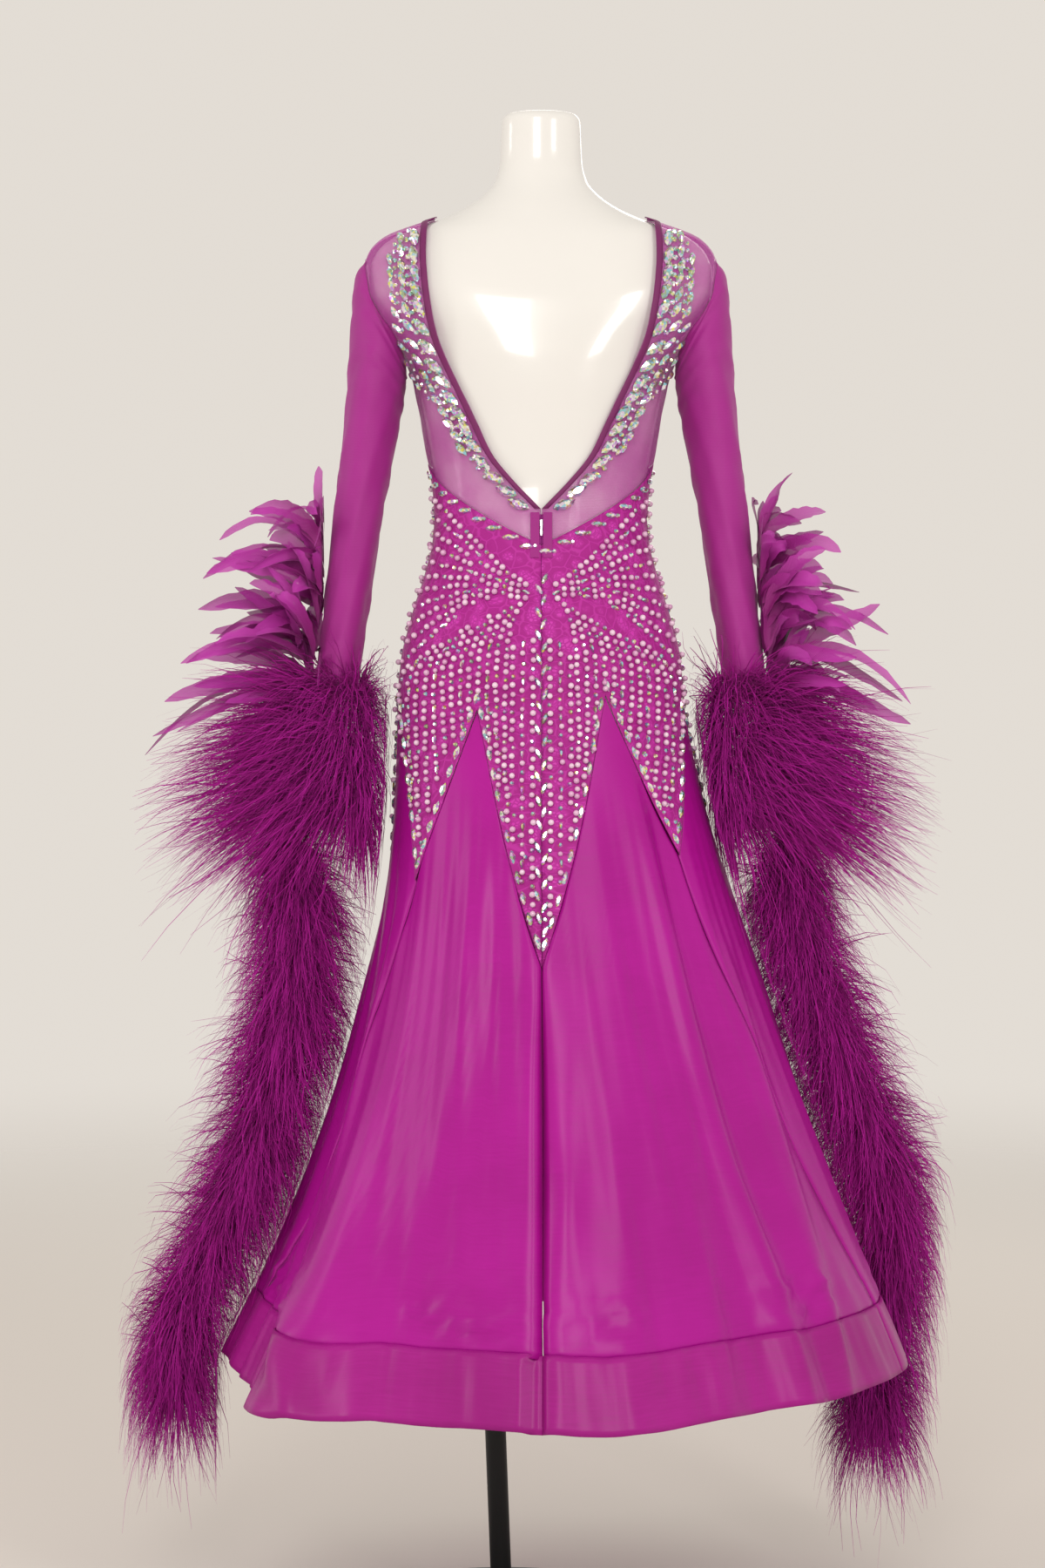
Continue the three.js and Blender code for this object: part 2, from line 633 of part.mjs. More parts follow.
function addStand() {
  const { radius, height, edge } = BASE;
  const disc = [[0, 0], [radius, 0], [radius, height - edge], [radius - edge, height], [0, height]];
  add('stand_base', lathe(disc, 48), 'steel').position.set(POLE_FOOT.x, 0, 0);
  const bore = POLE_RADIUS + 2.5;
  const low = height + LAY_GAP;
  const collar = [[bore, low], [34, low], [32, low + 6], [20, 44], [bore, 46], [bore, low]];
  add('stand_collar', lathe(collar, 24), 'steel').position.set(POLE_FOOT.x, 0, 0);
  const lean = POLE_TOP.clone().sub(POLE_FOOT);
  const pole = new THREE.CylinderGeometry(POLE_RADIUS, POLE_RADIUS, lean.length(), 24);
  const mesh = add('stand_pole', pole, 'steel');
  mesh.position.copy(POLE_FOOT).addScaledVector(lean, 0.5);
  mesh.position.z += 0.6;
  mesh.quaternion.setFromUnitVectors(new THREE.Vector3(0, 1, 0), lean.normalize());
  const socket = new THREE.CylinderGeometry(22, 26, 11, 24).rotateX(QUARTER);
  add('stand_socket', socket, 'steel').position.set(POLE_TOP.x, 0, 956.1);
}

addForm();
addStand();
addBodice();
addYoke();
for (let index = 0; index < GODET_COUNT; index += 1) addGodet(index);
addFastening();
addSleeves();
addFeathers();

// The origin is the middle of the whole part's box, on the surface that it stands on.
part.updateMatrixWorld(true);
const box = new THREE.Box3().setFromObject(part, true);
part.position.set(-(box.min.x + box.max.x) / 2, -(box.min.y + box.max.y) / 2, 0);

export default part;
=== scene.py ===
"""Beaded ballroom dance dress on a limbless dress form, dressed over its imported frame.

All sizes are millimetres from the form's axis on the floor, and reach the scene in metres.
The dress's back faces -Y and +X is the wearer's right. An angle round the body is measured
from the back centre, positive towards +X.
"""

import logging
import math
from dataclasses import dataclass
from enum import Enum
from typing import Sequence

import bpy
import numpy as np
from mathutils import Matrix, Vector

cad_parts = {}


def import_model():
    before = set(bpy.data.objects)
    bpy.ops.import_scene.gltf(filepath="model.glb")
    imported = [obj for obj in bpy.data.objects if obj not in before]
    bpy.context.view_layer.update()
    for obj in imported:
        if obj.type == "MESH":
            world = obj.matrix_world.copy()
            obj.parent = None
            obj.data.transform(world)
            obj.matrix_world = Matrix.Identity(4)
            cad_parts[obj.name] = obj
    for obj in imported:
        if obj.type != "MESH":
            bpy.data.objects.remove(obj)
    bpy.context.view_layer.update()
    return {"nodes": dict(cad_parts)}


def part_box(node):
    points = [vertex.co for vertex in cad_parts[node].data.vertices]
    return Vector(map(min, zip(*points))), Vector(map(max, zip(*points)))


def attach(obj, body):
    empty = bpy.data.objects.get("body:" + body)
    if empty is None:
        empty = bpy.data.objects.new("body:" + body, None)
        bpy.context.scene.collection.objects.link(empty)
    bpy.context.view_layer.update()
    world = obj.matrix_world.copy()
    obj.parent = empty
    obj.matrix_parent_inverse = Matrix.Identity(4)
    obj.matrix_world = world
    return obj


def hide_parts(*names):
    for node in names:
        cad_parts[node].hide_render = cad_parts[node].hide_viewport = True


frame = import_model()

log = logging.getLogger("dance_dress")

MM = 0.001
FULL_TURN = 2 * math.pi
SMOOTH_BELOW = 35  # degrees between faces that are shaded as one
QUARTER = math.pi / 2
SEED = 20
SIDES = (("right", 1), ("left", -1))

HEM_Z = 297
BAND_TOP_Z = 372
HIP_Z = 1050
SIDE_SEAM_Z = 1327
BACK_YOKE_Z = 1226
FRONT_YOKE_DIP = 27
NECK_V_Z = 1268
SHOULDER_Z = 1606
FRONT_NECK_DIP = 106
SEAM_GAP = 0.4
GODET_COUNT = 7
GODET_ANGLE = FULL_TURN / GODET_COUNT

ARMHOLE_Z = 1501.5
ARMHOLE_HEIGHT = 60.5
ARMHOLE_REACH = math.radians(20)

BODY_ROWS = """
962 112 78 68 1.6 2; 968 132 92 80 1.6 2; 980 146 104 90 1.6 2; 1010 158 118 98 1.6 2
1050 161 124 101 1.8 2; 1100 157 121 101 1.8 2; 1130 151 115 101 1.8 2
1160 142.5 107 100 1.8 2; 1200 129.5 94 95 1.8 2; 1240 120.5 84.5 88 1.8 2
1262 118.5 82 86 1.8 2; 1290 120 82 89 1.8 2; 1327 126 86 100 1.8 2; 1372 134 93 117 1.8 2.1
1422 144 101 124 2.2 2.2; 1446 149 103 120 6 2.4; 1472 163 103 112 9 2.6
1495 184 101 104 7 2.7; 1520 197 96 95 5 2.7; 1545 198 89 85 5 2.6; 1565 192 82 75 5 2.5
1582 176 75 67 5.5 2.4; 1596 144 68 62 4.5 2.2; 1606 118 63 61 3.5 2; 1618 92 57 61 3 2
1632 71 49 62 3 2; 1650 55 41 62 3 2; 1672 49 36 60 3 2; 1700 47.5 34 59 3 2
1720 46.5 33 58 3 2; 1727 42 28 53 3 2; 1729 35 22 46 3 2
"""
HEM_ROWS = """
-180 392 1.35; -156 414 1.3; -128 378 1.7; -105 374 2; -88 354 2.1; -66 346 2.2
-45 418 1.9; -28 360 1.5; -12 360 1.3; 0 380 1.25; 10 394 1.25; 30 362 1.25; 42 356 1.25
52 374 1.25; 66 386 1.25; 90 418 1.25; 108 396 1.3; 130 382 1.4; 154 412 1.3
"""
NECKLINE_ROWS = """
1268 0.6; 1300 31; 1329 54; 1364 71; 1402 89; 1429 102; 1457 114; 1484 121
1526 127; 1560 129; 1597 128; 1606 118
"""
SLEEVE_ROWS = """
213 1538 154 1432 51 0; 217.5 1490 154 1422 55 1; 221 1440 158 1402 55 2
227 1370 167 1352 52 3; 235 1290 179 1281 49 4; 244 1200 192 1195 44 4
254 1120 204 1117 40 3; 262 1060 212 1058 37 2
"""
BOA_RIGHT_ROWS = """
166 400 198 24 24; 178 402 199 42 42; 225 406 201 52 50; 280 413 204 48 46
338 421 200 48 46; 396 425 182 50 48; 456 417 152 56 52; 515 399 116 62 56
610 363 86 66 58; 708 325 60 64 54; 808 293 48 60 50; 865 288 46 54 46; 902 298 46 28 26
"""
BOA_LEFT_ROWS = """
236 -428 62 24 24; 250 -428 62 44 42; 292 -428 61 52 50; 350 -414 60 58 52
402 -391 58 62 54; 454 -366 55 64 54; 524 -331 52 66 54; 606 -309 50 68 52
706 -288 47 62 50; 808 -280 46 58 50; 865 -286 46 54 46; 902 -298 46 28 26
"""
CUFF_ROWS = """
905 284 4 86 60; 950 290 4 94 72; 1000 284 4 98 74; 1056 268 4 84 68; 1088 256 4 58 56
"""
YOKE_POINTS = (761, 881, 868, 860, 858, 866, 852)
GODET_TOPS = (1059, 1046, 1050, 1054, 1050, 1046, 1043)
HEM_SEAMS = (0, 82, 124, 162, 197, 232, 270, 360)
BOA_SPLIT_Z = 606


def read_rows(text: str) -> np.ndarray:
    """Reads a table written as rows of numbers.

    Args:
        text: Rows parted by semicolons or line ends.

    Returns:
        An array with one row of numbers for each row of the table.
    """
    rows = text.replace("\n", ";").split(";")
    return np.array([[float(word) for word in row.split()] for row in rows if row.strip()])


class Curve:
    """A smooth curve through a table's rows, which keeps each rise and fall between them."""

    def __init__(self, at: np.ndarray, values: np.ndarray) -> None:
        """Takes the rows' places, in rising order, and their values."""
        self.at = np.asarray(at, float)
        self.values = np.asarray(values, float)
        rises = np.diff(self.values) / np.diff(self.at)
        before, after = rises[:-1], rises[1:]
        turning = before * after <= 0
        total = np.where(turning, 1, before + after)
        inside = np.where(turning, 0, 2 * before * after / total)
        self.slopes = np.concatenate([rises[:1], inside, rises[-1:]])

    def __call__(self, at: np.ndarray | float) -> np.ndarray:
        """Returns the curve's values at the given places, held level past both ends."""
        where = np.clip(at, self.at[0], self.at[-1])
        i = np.clip(np.searchsorted(self.at, where, side="right") - 1, 0, len(self.at) - 2)
        span = self.at[i + 1] - self.at[i]
        t = (where - self.at[i]) / span
        start, end = self.slopes[i] * span, self.slopes[i + 1] * span
        rise = self.values[i + 1] - self.values[i]
        bend, twist = 3 * rise - 2 * start - end, start + end - 2 * rise
        return self.values[i] + t * (start + t * (bend + t * twist))


def smooth(edge_low: float, edge_high: float, value: np.ndarray | float) -> np.ndarray:
    """Returns 0 below the low edge and 1 above the high edge, with a smooth rise between."""
    t = np.clip((np.asarray(value, float) - edge_low) / (edge_high - edge_low), 0, 1)
    return t * t * (3 - 2 * t)


def ripple(place: np.ndarray, seed: int, octaves: int = 3) -> np.ndarray:
    """Returns an uneven wave of about unit height along a place counted in waves."""
    rng = np.random.default_rng(seed)
    total = np.zeros_like(np.asarray(place, float))
    for octave in range(octaves):
        pace = 1.83**octave * rng.uniform(0.85, 1.15)
        total += np.sin(place * pace * FULL_TURN + rng.uniform(0, FULL_TURN)) / 1.7**octave
    return total / 1.6


def half_turns(angle: np.ndarray) -> np.ndarray:
    """Returns angles between minus and plus half a turn."""
    return np.mod(angle + math.pi, FULL_TURN) - math.pi


def unit(vectors: np.ndarray) -> np.ndarray:
    """Returns the vectors at length one."""
    return vectors / np.maximum(np.linalg.norm(vectors, axis=-1, keepdims=True), 1e-9)


class BodyShape:
    """The form's surface and the cloth that lies over it, by angle and level."""

    def __init__(self) -> None:
        """Reads the level sections and the folds of the hem."""
        rows = read_rows(BODY_ROWS)
        names = ("half", "back", "front", "ease", "square")
        self.curves = {name: Curve(rows[:, 0], rows[:, i + 1]) for i, name in enumerate(names)}
        hem = read_rows(HEM_ROWS)
        turns = np.concatenate([hem + [turn, 0, 0] for turn in (-360, 0, 360)])
        self.hem_radius = Curve(turns[:, 0], turns[:, 1])
        self.hem_lateness = Curve(turns[:, 0], turns[:, 2])

    def section(self, angle: np.ndarray, z: np.ndarray, spare: np.ndarray) -> np.ndarray:
        """Returns points of the body's level sections, grown by a spare distance.

        Args:
            angle: Angles round the body, in radians.
            z: Levels.
            spare: How far the section stands off the form.

        Returns:
            Points with x, y and z in their last axis.
        """
        bend = 2 / self.curves["square"](z)
        side, behind = np.sin(angle), np.cos(angle)
        half = self.curves["half"](z) + spare
        depth = np.where(behind > 0, self.curves["back"](z), self.curves["front"](z)) + spare
        x = half * np.sign(side) * np.abs(side) ** bend
        y = -depth * np.sign(behind) * np.abs(behind) ** bend
        return np.stack([x, y, z + 0 * x], axis=-1)

    def cloth(self, angle: np.ndarray, z: np.ndarray) -> np.ndarray:
        """Returns points of the cloth's inner face, on the body and down the skirt."""
        angle, z = np.broadcast_arrays(np.asarray(angle, float), np.asarray(z, float))
        level = np.maximum(z, HIP_Z)
        point = self.section(angle, level, self.curves["ease"](level))
        degrees = np.mod(np.degrees(angle) + 180, 360) - 180
        radius = self.hem_radius(degrees)
        drop = np.clip((HIP_Z - z) / (HIP_Z - HEM_Z), 0, None)
        flare = (drop ** self.hem_lateness(degrees))[..., None]
        hem = np.stack([radius * np.sin(angle), -radius * np.cos(angle), z], axis=-1)
        point = point * (1 - flare) + hem * flare
        point[..., 2] = z
        return point

    def normal(self, angle: np.ndarray, z: np.ndarray) -> np.ndarray:
        """Returns the cloth's outward normals."""
        along = self.cloth(angle + 0.01, z) - self.cloth(angle - 0.01, z)
        up = self.cloth(angle, z + 1) - self.cloth(angle, z - 1)
        return unit(np.cross(along, up))

    def surface(self, angle: np.ndarray, z: np.ndarray, out: np.ndarray | float) -> np.ndarray:
        """Returns points at a distance out from the cloth's inner face."""
        angle, z = np.broadcast_arrays(np.asarray(angle, float), np.asarray(z, float))
        out = np.broadcast_to(np.asarray(out, float), angle.shape)
        return self.cloth(angle, z) + self.normal(angle, z) * out[..., None]

    def angle_for(self, x: np.ndarray, z: np.ndarray) -> np.ndarray:
        """Returns the angles on the back half at which the cloth is x from the centre."""
        x, z = np.broadcast_arrays(np.asarray(x, float), np.asarray(z, float))
        low, high = np.zeros(x.shape), np.full(x.shape, QUARTER)
        side = np.where(x < 0, -1, 1)
        for _ in range(24):
            middle = (low + high) / 2
            short = side * self.cloth(side * middle, z)[..., 0] < np.abs(x)
            low, high = np.where(short, middle, low), np.where(short, high, middle)
        return side * (low + high) / 2


BODY = BodyShape()
FORM_SLACK = 1.5
FORM_BACK_REACH = 0.1225  # metres from the form's axis to the fullest part of its back
_low, _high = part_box("form_torso")
AXIS = np.array([(_low.x + _high.x) / 2, _low.y + FORM_BACK_REACH, 0.0])


def world(points: np.ndarray) -> np.ndarray:
    """Returns points in metres of the frame, from millimetres about the form's axis."""
    return np.asarray(points, float) * MM + AXIS


# ---------- Meshes ----------
def mesh_object(
    name: str,
    points: np.ndarray,
    faces: Sequence[np.ndarray],
    uv: np.ndarray | None = None,
    shades: dict[str, np.ndarray] | None = None,
    rounded: bool = True,
) -> bpy.types.Object:
    """Makes a mesh object from arrays.

    Args:
        name: The piece's name.
        points: Vertices in millimetres about the form's axis.
        faces: Arrays of faces, each with one row of vertex numbers for each face.
        uv: A texture place for each vertex, in metres.
        shades: Named values, with one number for each vertex.
        rounded: Whether the faces are shaded smooth.

    Returns:
        The new object, linked to the scene.
    """
    mesh = bpy.data.meshes.new(name)
    corners = np.concatenate([block.ravel() for block in faces]).astype(np.int32)
    sizes = np.concatenate([np.full(len(block), block.shape[1]) for block in faces])
    starts = np.concatenate([[0], np.cumsum(sizes)[:-1]]).astype(np.int32)
    mesh.vertices.add(len(points))
    mesh.vertices.foreach_set("co", world(points).astype(np.float32).ravel())
    mesh.loops.add(len(corners))
    mesh.loops.foreach_set("vertex_index", corners)
    mesh.polygons.add(len(sizes))
    mesh.polygons.foreach_set("loop_start", starts)
    mesh.polygons.foreach_set("use_smooth", np.full(len(sizes), rounded))
    if uv is not None:
        layer = mesh.uv_layers.new(name="cloth")
        layer.uv.foreach_set("vector", uv[corners].astype(np.float32).ravel())
    for label, values in (shades or {}).items():
        attribute = mesh.attributes.new(label, "FLOAT", "POINT")
        attribute.data.foreach_set("value", values.astype(np.float32))
    mesh.update()
    mesh.validate()
    piece = bpy.data.objects.new(name, mesh)
    bpy.context.scene.collection.objects.link(piece)
    return piece


def select_only(piece: bpy.types.Object) -> None:
    """Makes one object the only selected and active one."""
    bpy.ops.object.select_all(action="DESELECT")
    piece.select_set(True)
    bpy.context.view_layer.objects.active = piece


def thicken(piece: bpy.types.Object, wall: float) -> None:
    """Grows a sheet inwards to its thickness in millimetres, with an applied Solidify modifier."""
    solidify = piece.modifiers.new("wall", "SOLIDIFY")
    solidify.thickness = wall * MM
    solidify.offset = -1
    solidify.use_even_offset = False
    select_only(piece)
    bpy.ops.object.modifier_apply(modifier=solidify.name)


def grid_faces(rows: int, columns: int, closed: bool = False) -> np.ndarray:
    """Returns the quads of a grid of vertices whose rows go up and whose columns go round.

    Args:
        rows: How many rows of vertices.
        columns: How many vertices are in a row.
        closed: Whether the last column joins the first.

    Returns:
        One row of four vertex numbers for each quad.
    """
    across = columns if closed else columns - 1
    r, c = np.meshgrid(np.arange(rows - 1), np.arange(across), indexing="ij")
    after = (c + 1) % columns
    quads = [r * columns + c, r * columns + after, (r + 1) * columns + after]
    return np.stack([*quads, (r + 1) * columns + c], axis=-1).reshape(-1, 4)


def repeated_grids(rows: int, columns: int, count: int) -> np.ndarray:
    """Returns the quads of many equal grids, one after the other."""
    starts = np.arange(count) * rows * columns
    return (grid_faces(rows, columns)[None] + starts[:, None, None]).reshape(-1, 4)


def lengths_along(points: np.ndarray, axis: int) -> np.ndarray:
    """Returns how far along its row (axis 1) or column (axis 0) each grid point is."""
    gaps = np.linalg.norm(np.diff(points, axis=axis), axis=-1)
    start = np.zeros_like(gaps[:1] if axis == 0 else gaps[:, :1])
    return np.concatenate([start, np.cumsum(gaps, axis=axis)], axis=axis)


@dataclass
class Cut:
    """The flat size of a piece of cloth, in metres."""

    width: float
    length: float
    area: float


MEASURING_SLACK = 1.01  # a straight measure falls a little short of a curved edge
LEAST_AREA_SHARE = 0.301  # of its flat rectangle, for the narrowest points


class Panel:
    """One sewn piece of cloth, as a grid of points with its texture places and its cut."""

    def __init__(self, name: str, points: np.ndarray) -> None:
        """Takes the piece's name and its grid, in millimetres."""
        self.name = name
        self.points = points
        across = lengths_along(points[..., :2], 1)
        along = lengths_along(points, 0)
        middle = points.shape[1] // 2
        self.u = (across - across[:, middle : middle + 1]) * MM
        self.v = (along + (points[0, :, 2] - points[0, :, 2].min())) * MM
        edge_across = points[1:, 1:] - points[:-1, :-1]
        edge_along = points[1:, :-1] - points[:-1, 1:]
        area = np.linalg.norm(np.cross(edge_across, edge_along), axis=-1).sum() / 2
        width, length = across[:, -1].max(), along[-1].max()
        self.cut = Cut(width * MM, length * MM, area * MM * MM)

    def build(self, wall: float) -> bpy.types.Object:
        """Makes the piece's mesh, with its real wall grown inwards."""
        rows, columns = self.points.shape[:2]
        uv = np.stack([self.u.ravel(), self.v.ravel()], axis=1)
        flat = self.points.reshape(-1, 3)
        piece = mesh_object(self.name, flat, [grid_faces(rows, columns)], uv)
        thicken(piece, wall)
        return piece

    def declare(self) -> None:
        size = (self.cut.width * MEASURING_SLACK, self.cut.length * MEASURING_SLACK)
        whole = size[0] * size[1]
        area = min(max(self.cut.area, LEAST_AREA_SHARE * whole), whole)
        log.info("%s: cut %.3f x %.3f m, %.4f m2", self.name, *size, area)


def mount(
    piece: bpy.types.Object,
    material: bpy.types.Material,
    stands_for: Sequence[str] = (),
) -> None:
    """Dresses a finished piece and joins it to the dress's body in the frame.

    Args:
        piece: The finished mesh object.
        material: Its finish.
        stands_for: The frame's nodes that it replaces.
    """
    piece.data.materials.clear()
    piece.data.materials.append(material)
    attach(piece, "dress")
    if stands_for:
        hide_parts(*stands_for)
    log.info("built %s with %d faces", piece.name, len(piece.data.polygons))


def weld(piece: bpy.types.Object) -> None:
    """Joins the two long edges of a tube's seam."""
    select_only(piece)
    bpy.ops.object.mode_set(mode="EDIT")
    bpy.ops.mesh.select_all(action="SELECT")
    bpy.ops.mesh.remove_doubles(threshold=1e-6)
    bpy.ops.object.mode_set(mode="OBJECT")


def sew(
    panel: Panel,
    wall: float,
    finish: bpy.types.Material,
    node: str,
    tube: bool = False,
) -> None:
    """Builds, dresses and declares one piece of cloth.

    Args:
        panel: The piece's grid.
        wall: Its thickness in millimetres.
        finish: Its material.
        node: The frame's node that it replaces.
        tube: Whether its two long edges meet in a seam.
    """
    piece = panel.build(wall)
    if tube:
        weld(piece)
    mount(piece, finish, [node])
    panel.declare()


def soften(piece: bpy.types.Object, width: float, segments: int, limit: float) -> None:
    """Bevels the edges of a hard piece and shades it smooth.

    Args:
        piece: The selected and active piece.
        width: The bevel's width in millimetres.
        segments: How many steps the bevel has.
        limit: The angle in degrees above which an edge is bevelled.
    """
    bevel = piece.modifiers.new("edge", "BEVEL")
    bevel.width = width * MM
    bevel.segments = segments
    bevel.limit_method = "ANGLE"
    bevel.angle_limit = math.radians(limit)
    bpy.ops.object.modifier_apply(modifier=bevel.name)
    bpy.ops.object.shade_smooth_by_angle(angle=math.radians(SMOOTH_BELOW))


# ---------- Shaders ----------
class Value:
    """A shader socket on which arithmetic adds Math nodes."""

    def __init__(self, shader: "Shader", socket: bpy.types.NodeSocket) -> None:
        """Wraps an output socket of one shader's tree."""
        self.shader = shader
        self.socket = socket

    def _math(self, operation: str, *values: "Value | float") -> "Value":
        """Adds one Math node over the given values."""
        inputs = dict(enumerate(values))
        return self.shader.node("Math", {"operation": operation}, inputs)

    def __add__(self, other: "Value | float") -> "Value":
        """Returns self + other."""
        return self._math("ADD", self, other)

    __radd__ = __add__

    def __rsub__(self, other: "Value | float") -> "Value":
        """Returns other - self."""
        return self._math("SUBTRACT", other, self)

    def __mul__(self, other: "Value | float") -> "Value":
        """Returns self * other."""
        return self._math("MULTIPLY", self, other)

    __rmul__ = __mul__

    def sine(self) -> "Value":
        """Returns the sine."""
        return self._math("SINE", self)

    def most(self, other: "Value | float") -> "Value":
        """Returns the larger of the two."""
        return self._math("MAXIMUM", self, other)

    def fit(self, low: float, high: float, to_low: float = 0, to_high: float = 1) -> "Value":
        """Returns self moved from one range to another, smoothly and held at the ends."""
        inputs = {0: self, 1: low, 2: high, 3: to_low, 4: to_high}
        return self.shader.node("MapRange", {"interpolation_type": "SMOOTHSTEP"}, inputs)


Feed = Value | float | Sequence[float]
NOISE_ROUGHNESS = 0.55


class Shader:
    """The node tree of one material, with a Principled BSDF as its surface."""

    def __init__(self, name: str, **constants: Feed) -> None:
        """Starts a material.

        Args:
            name: The material's name.
            **constants: Values of the Principled sockets, with _ for each space.
        """
        self.material = bpy.data.materials.new(name)
        self.material.use_nodes = True
        self.tree = self.material.node_tree
        self.tree.nodes.clear()
        self.surface = self.tree.nodes.new("ShaderNodeBsdfPrincipled")
        self.output = self.tree.nodes.new("ShaderNodeOutputMaterial")
        self.tree.links.new(self.surface.outputs[0], self.output.inputs[0])
        self.set(**constants)

    def feed(self, socket: bpy.types.NodeSocket, value: Feed) -> None:
        """Links a value to a socket, or sets the socket to a constant."""
        if isinstance(value, Value):
            self.tree.links.new(value.socket, socket)
        elif socket.type == "RGBA" and not isinstance(value, (int, float)):
            socket.default_value = (*value, 1.0)[:4]
        else:
            socket.default_value = value

    def set(self, **values: Feed) -> None:
        """Feeds the Principled BSDF's sockets, named with _ for each space."""
        for name, value in values.items():
            title = " ".join(word.capitalize() for word in name.split("_"))
            title = title.replace("Ior", "IOR")
            self.feed(self.surface.inputs[title], value)

    def node(
        self,
        kind: str,
        settings: dict | None = None,
        inputs: dict | None = None,
        output: str | int = 0,
    ) -> Value:
        """Adds any shader node.

        Args:
            kind: The node's type, without its ShaderNode prefix.
            settings: The node's own settings, set before its sockets.
            inputs: Values or links for its sockets, by name or number.
            output: Which output to return.

        Returns:
            The chosen output.
        """
        node = self.tree.nodes.new("ShaderNode" + kind)
        for label, value in (settings or {}).items():
            if label == "stops":
                elements = node.color_ramp.elements
                while len(elements) < len(value):
                    elements.new(0.5)
                for element, (place, colour) in zip(elements, value):
                    element.position = place
                    element.color = (*colour, 1.0)
            else:
                setattr(node, label, value)
        for label, value in (inputs or {}).items():
            self.feed(node.inputs[label], value)
        return Value(self, node.outputs[output])

    def blend(self, factor: Feed, first: Feed, second: Feed) -> Value:
        """Mixes two colours."""
        settings = {"data_type": "RGBA", "blend_type": "MIX"}
        return self.node("Mix", settings, {0: factor, 6: first, 7: second}, 2)

    def place(self, scale: Sequence[float] = (1, 1, 1), cloth: bool = True) -> Value:
        """Returns the piece's UV or Object place, scaled."""
        source = self.node("TexCoord", output="UV" if cloth else "Object")
        inputs = {"Vector": source, "Scale": tuple(scale)}
        return self.node("Mapping", None, inputs)

    def split(self, vector: Value) -> list[Value]:
        """Returns a vector's three parts."""
        first = self.node("SeparateXYZ", None, {0: vector})
        outputs = first.socket.node.outputs
        return [Value(self, outputs[i]) for i in range(3)]

    def noise(self, place: Value, scale: float, detail: float) -> Value:
        """Returns a noise texture's value."""
        inputs = {"Vector": place, "Scale": scale, "Detail": detail, "Roughness": NOISE_ROUGHNESS}
        return self.node("TexNoise", None, inputs)

    def cells(
        self, place: Value, scale: float, feature: str = "F1", output: str = "Distance"
    ) -> Value:
        """Returns a Voronoi texture's distance or colour."""
        inputs = {"Vector": place, "Scale": scale}
        return self.node("TexVoronoi", {"feature": feature}, inputs, output)

    def attribute(self, name: str) -> Value:
        """Reads a named value of the mesh."""
        return self.node("Attribute", {"attribute_name": name}, None, "Fac")

    def relief(self, height: Value, depth: float, strength: float = 1) -> None:
        """Gives the surface a bump of the given depth in millimetres."""
        inputs = {"Strength": strength, "Distance": depth * MM, "Height": height}
        self.set(normal=self.node("Bump", None, inputs, "Normal"))


# ---------- Finishes ----------
@dataclass(frozen=True)
class Satin:
    """Smooth matt-backed satin with a fine crosswise grain and a soft sheen."""

    name: str = "satin"
    colour: tuple[float, float, float] = (0.41, 0.005, 0.285)
    shadow: tuple[float, float, float] = (0.35, 0.004, 0.235)
    roughness: float = 0.33

    def make(self) -> bpy.types.Material:
        """Builds the material."""
        shader = Shader(self.name, sheen_weight=0.03, sheen_roughness=0.35)
        shader.set(sheen_tint=(1.0, 0.4, 0.85), specular_ior_level=0.22)
        grain = shader.noise(shader.place((900, 5200, 1)), 1, 2)
        slub = shader.noise(shader.place((26, 420, 1)), 1, 3)
        clouds = shader.noise(shader.place(cloth=False), 7, 3)
        mix = (clouds * 0.7 + slub * 0.3).fit(0.3, 0.72)
        shader.set(base_color=shader.blend(mix, self.shadow, self.colour))
        shader.set(roughness=(slub * 0.14 + grain * 0.08) + (self.roughness - 0.11))
        shader.relief(grain * 0.35 + slub * 0.65, 0.12, 0.5)
        return shader.material


@dataclass(frozen=True)
class Mesh:
    """Sheer stretch mesh, whose open weave lets what is behind show through."""

    name: str
    colour: tuple[float, float, float] = (0.62, 0.04, 0.48)
    cover: float = 0.5

    def make(self) -> bpy.types.Material:
        """Builds the material."""
        shader = Shader(self.name, roughness=0.62, sheen_weight=0.12, sheen_roughness=0.4)
        shader.set(sheen_tint=(1.0, 0.6, 0.9))
        u, v, _ = shader.split(shader.place())
        threads = (u * 5200).sine() * 0.5 + (v * 4300).sine() * 0.5
        drift = shader.noise(shader.place(cloth=False), 16, 2)
        cover = threads * 0.07 + drift.fit(0.35, 0.7, self.cover - 0.05, self.cover + 0.06)
        darker = tuple(part * 0.82 for part in self.colour)
        shader.set(base_color=shader.blend(drift, self.colour, darker))
        shader.set(alpha=cover)
        shader.relief(threads, 0.08, 0.4)
        return shader.material


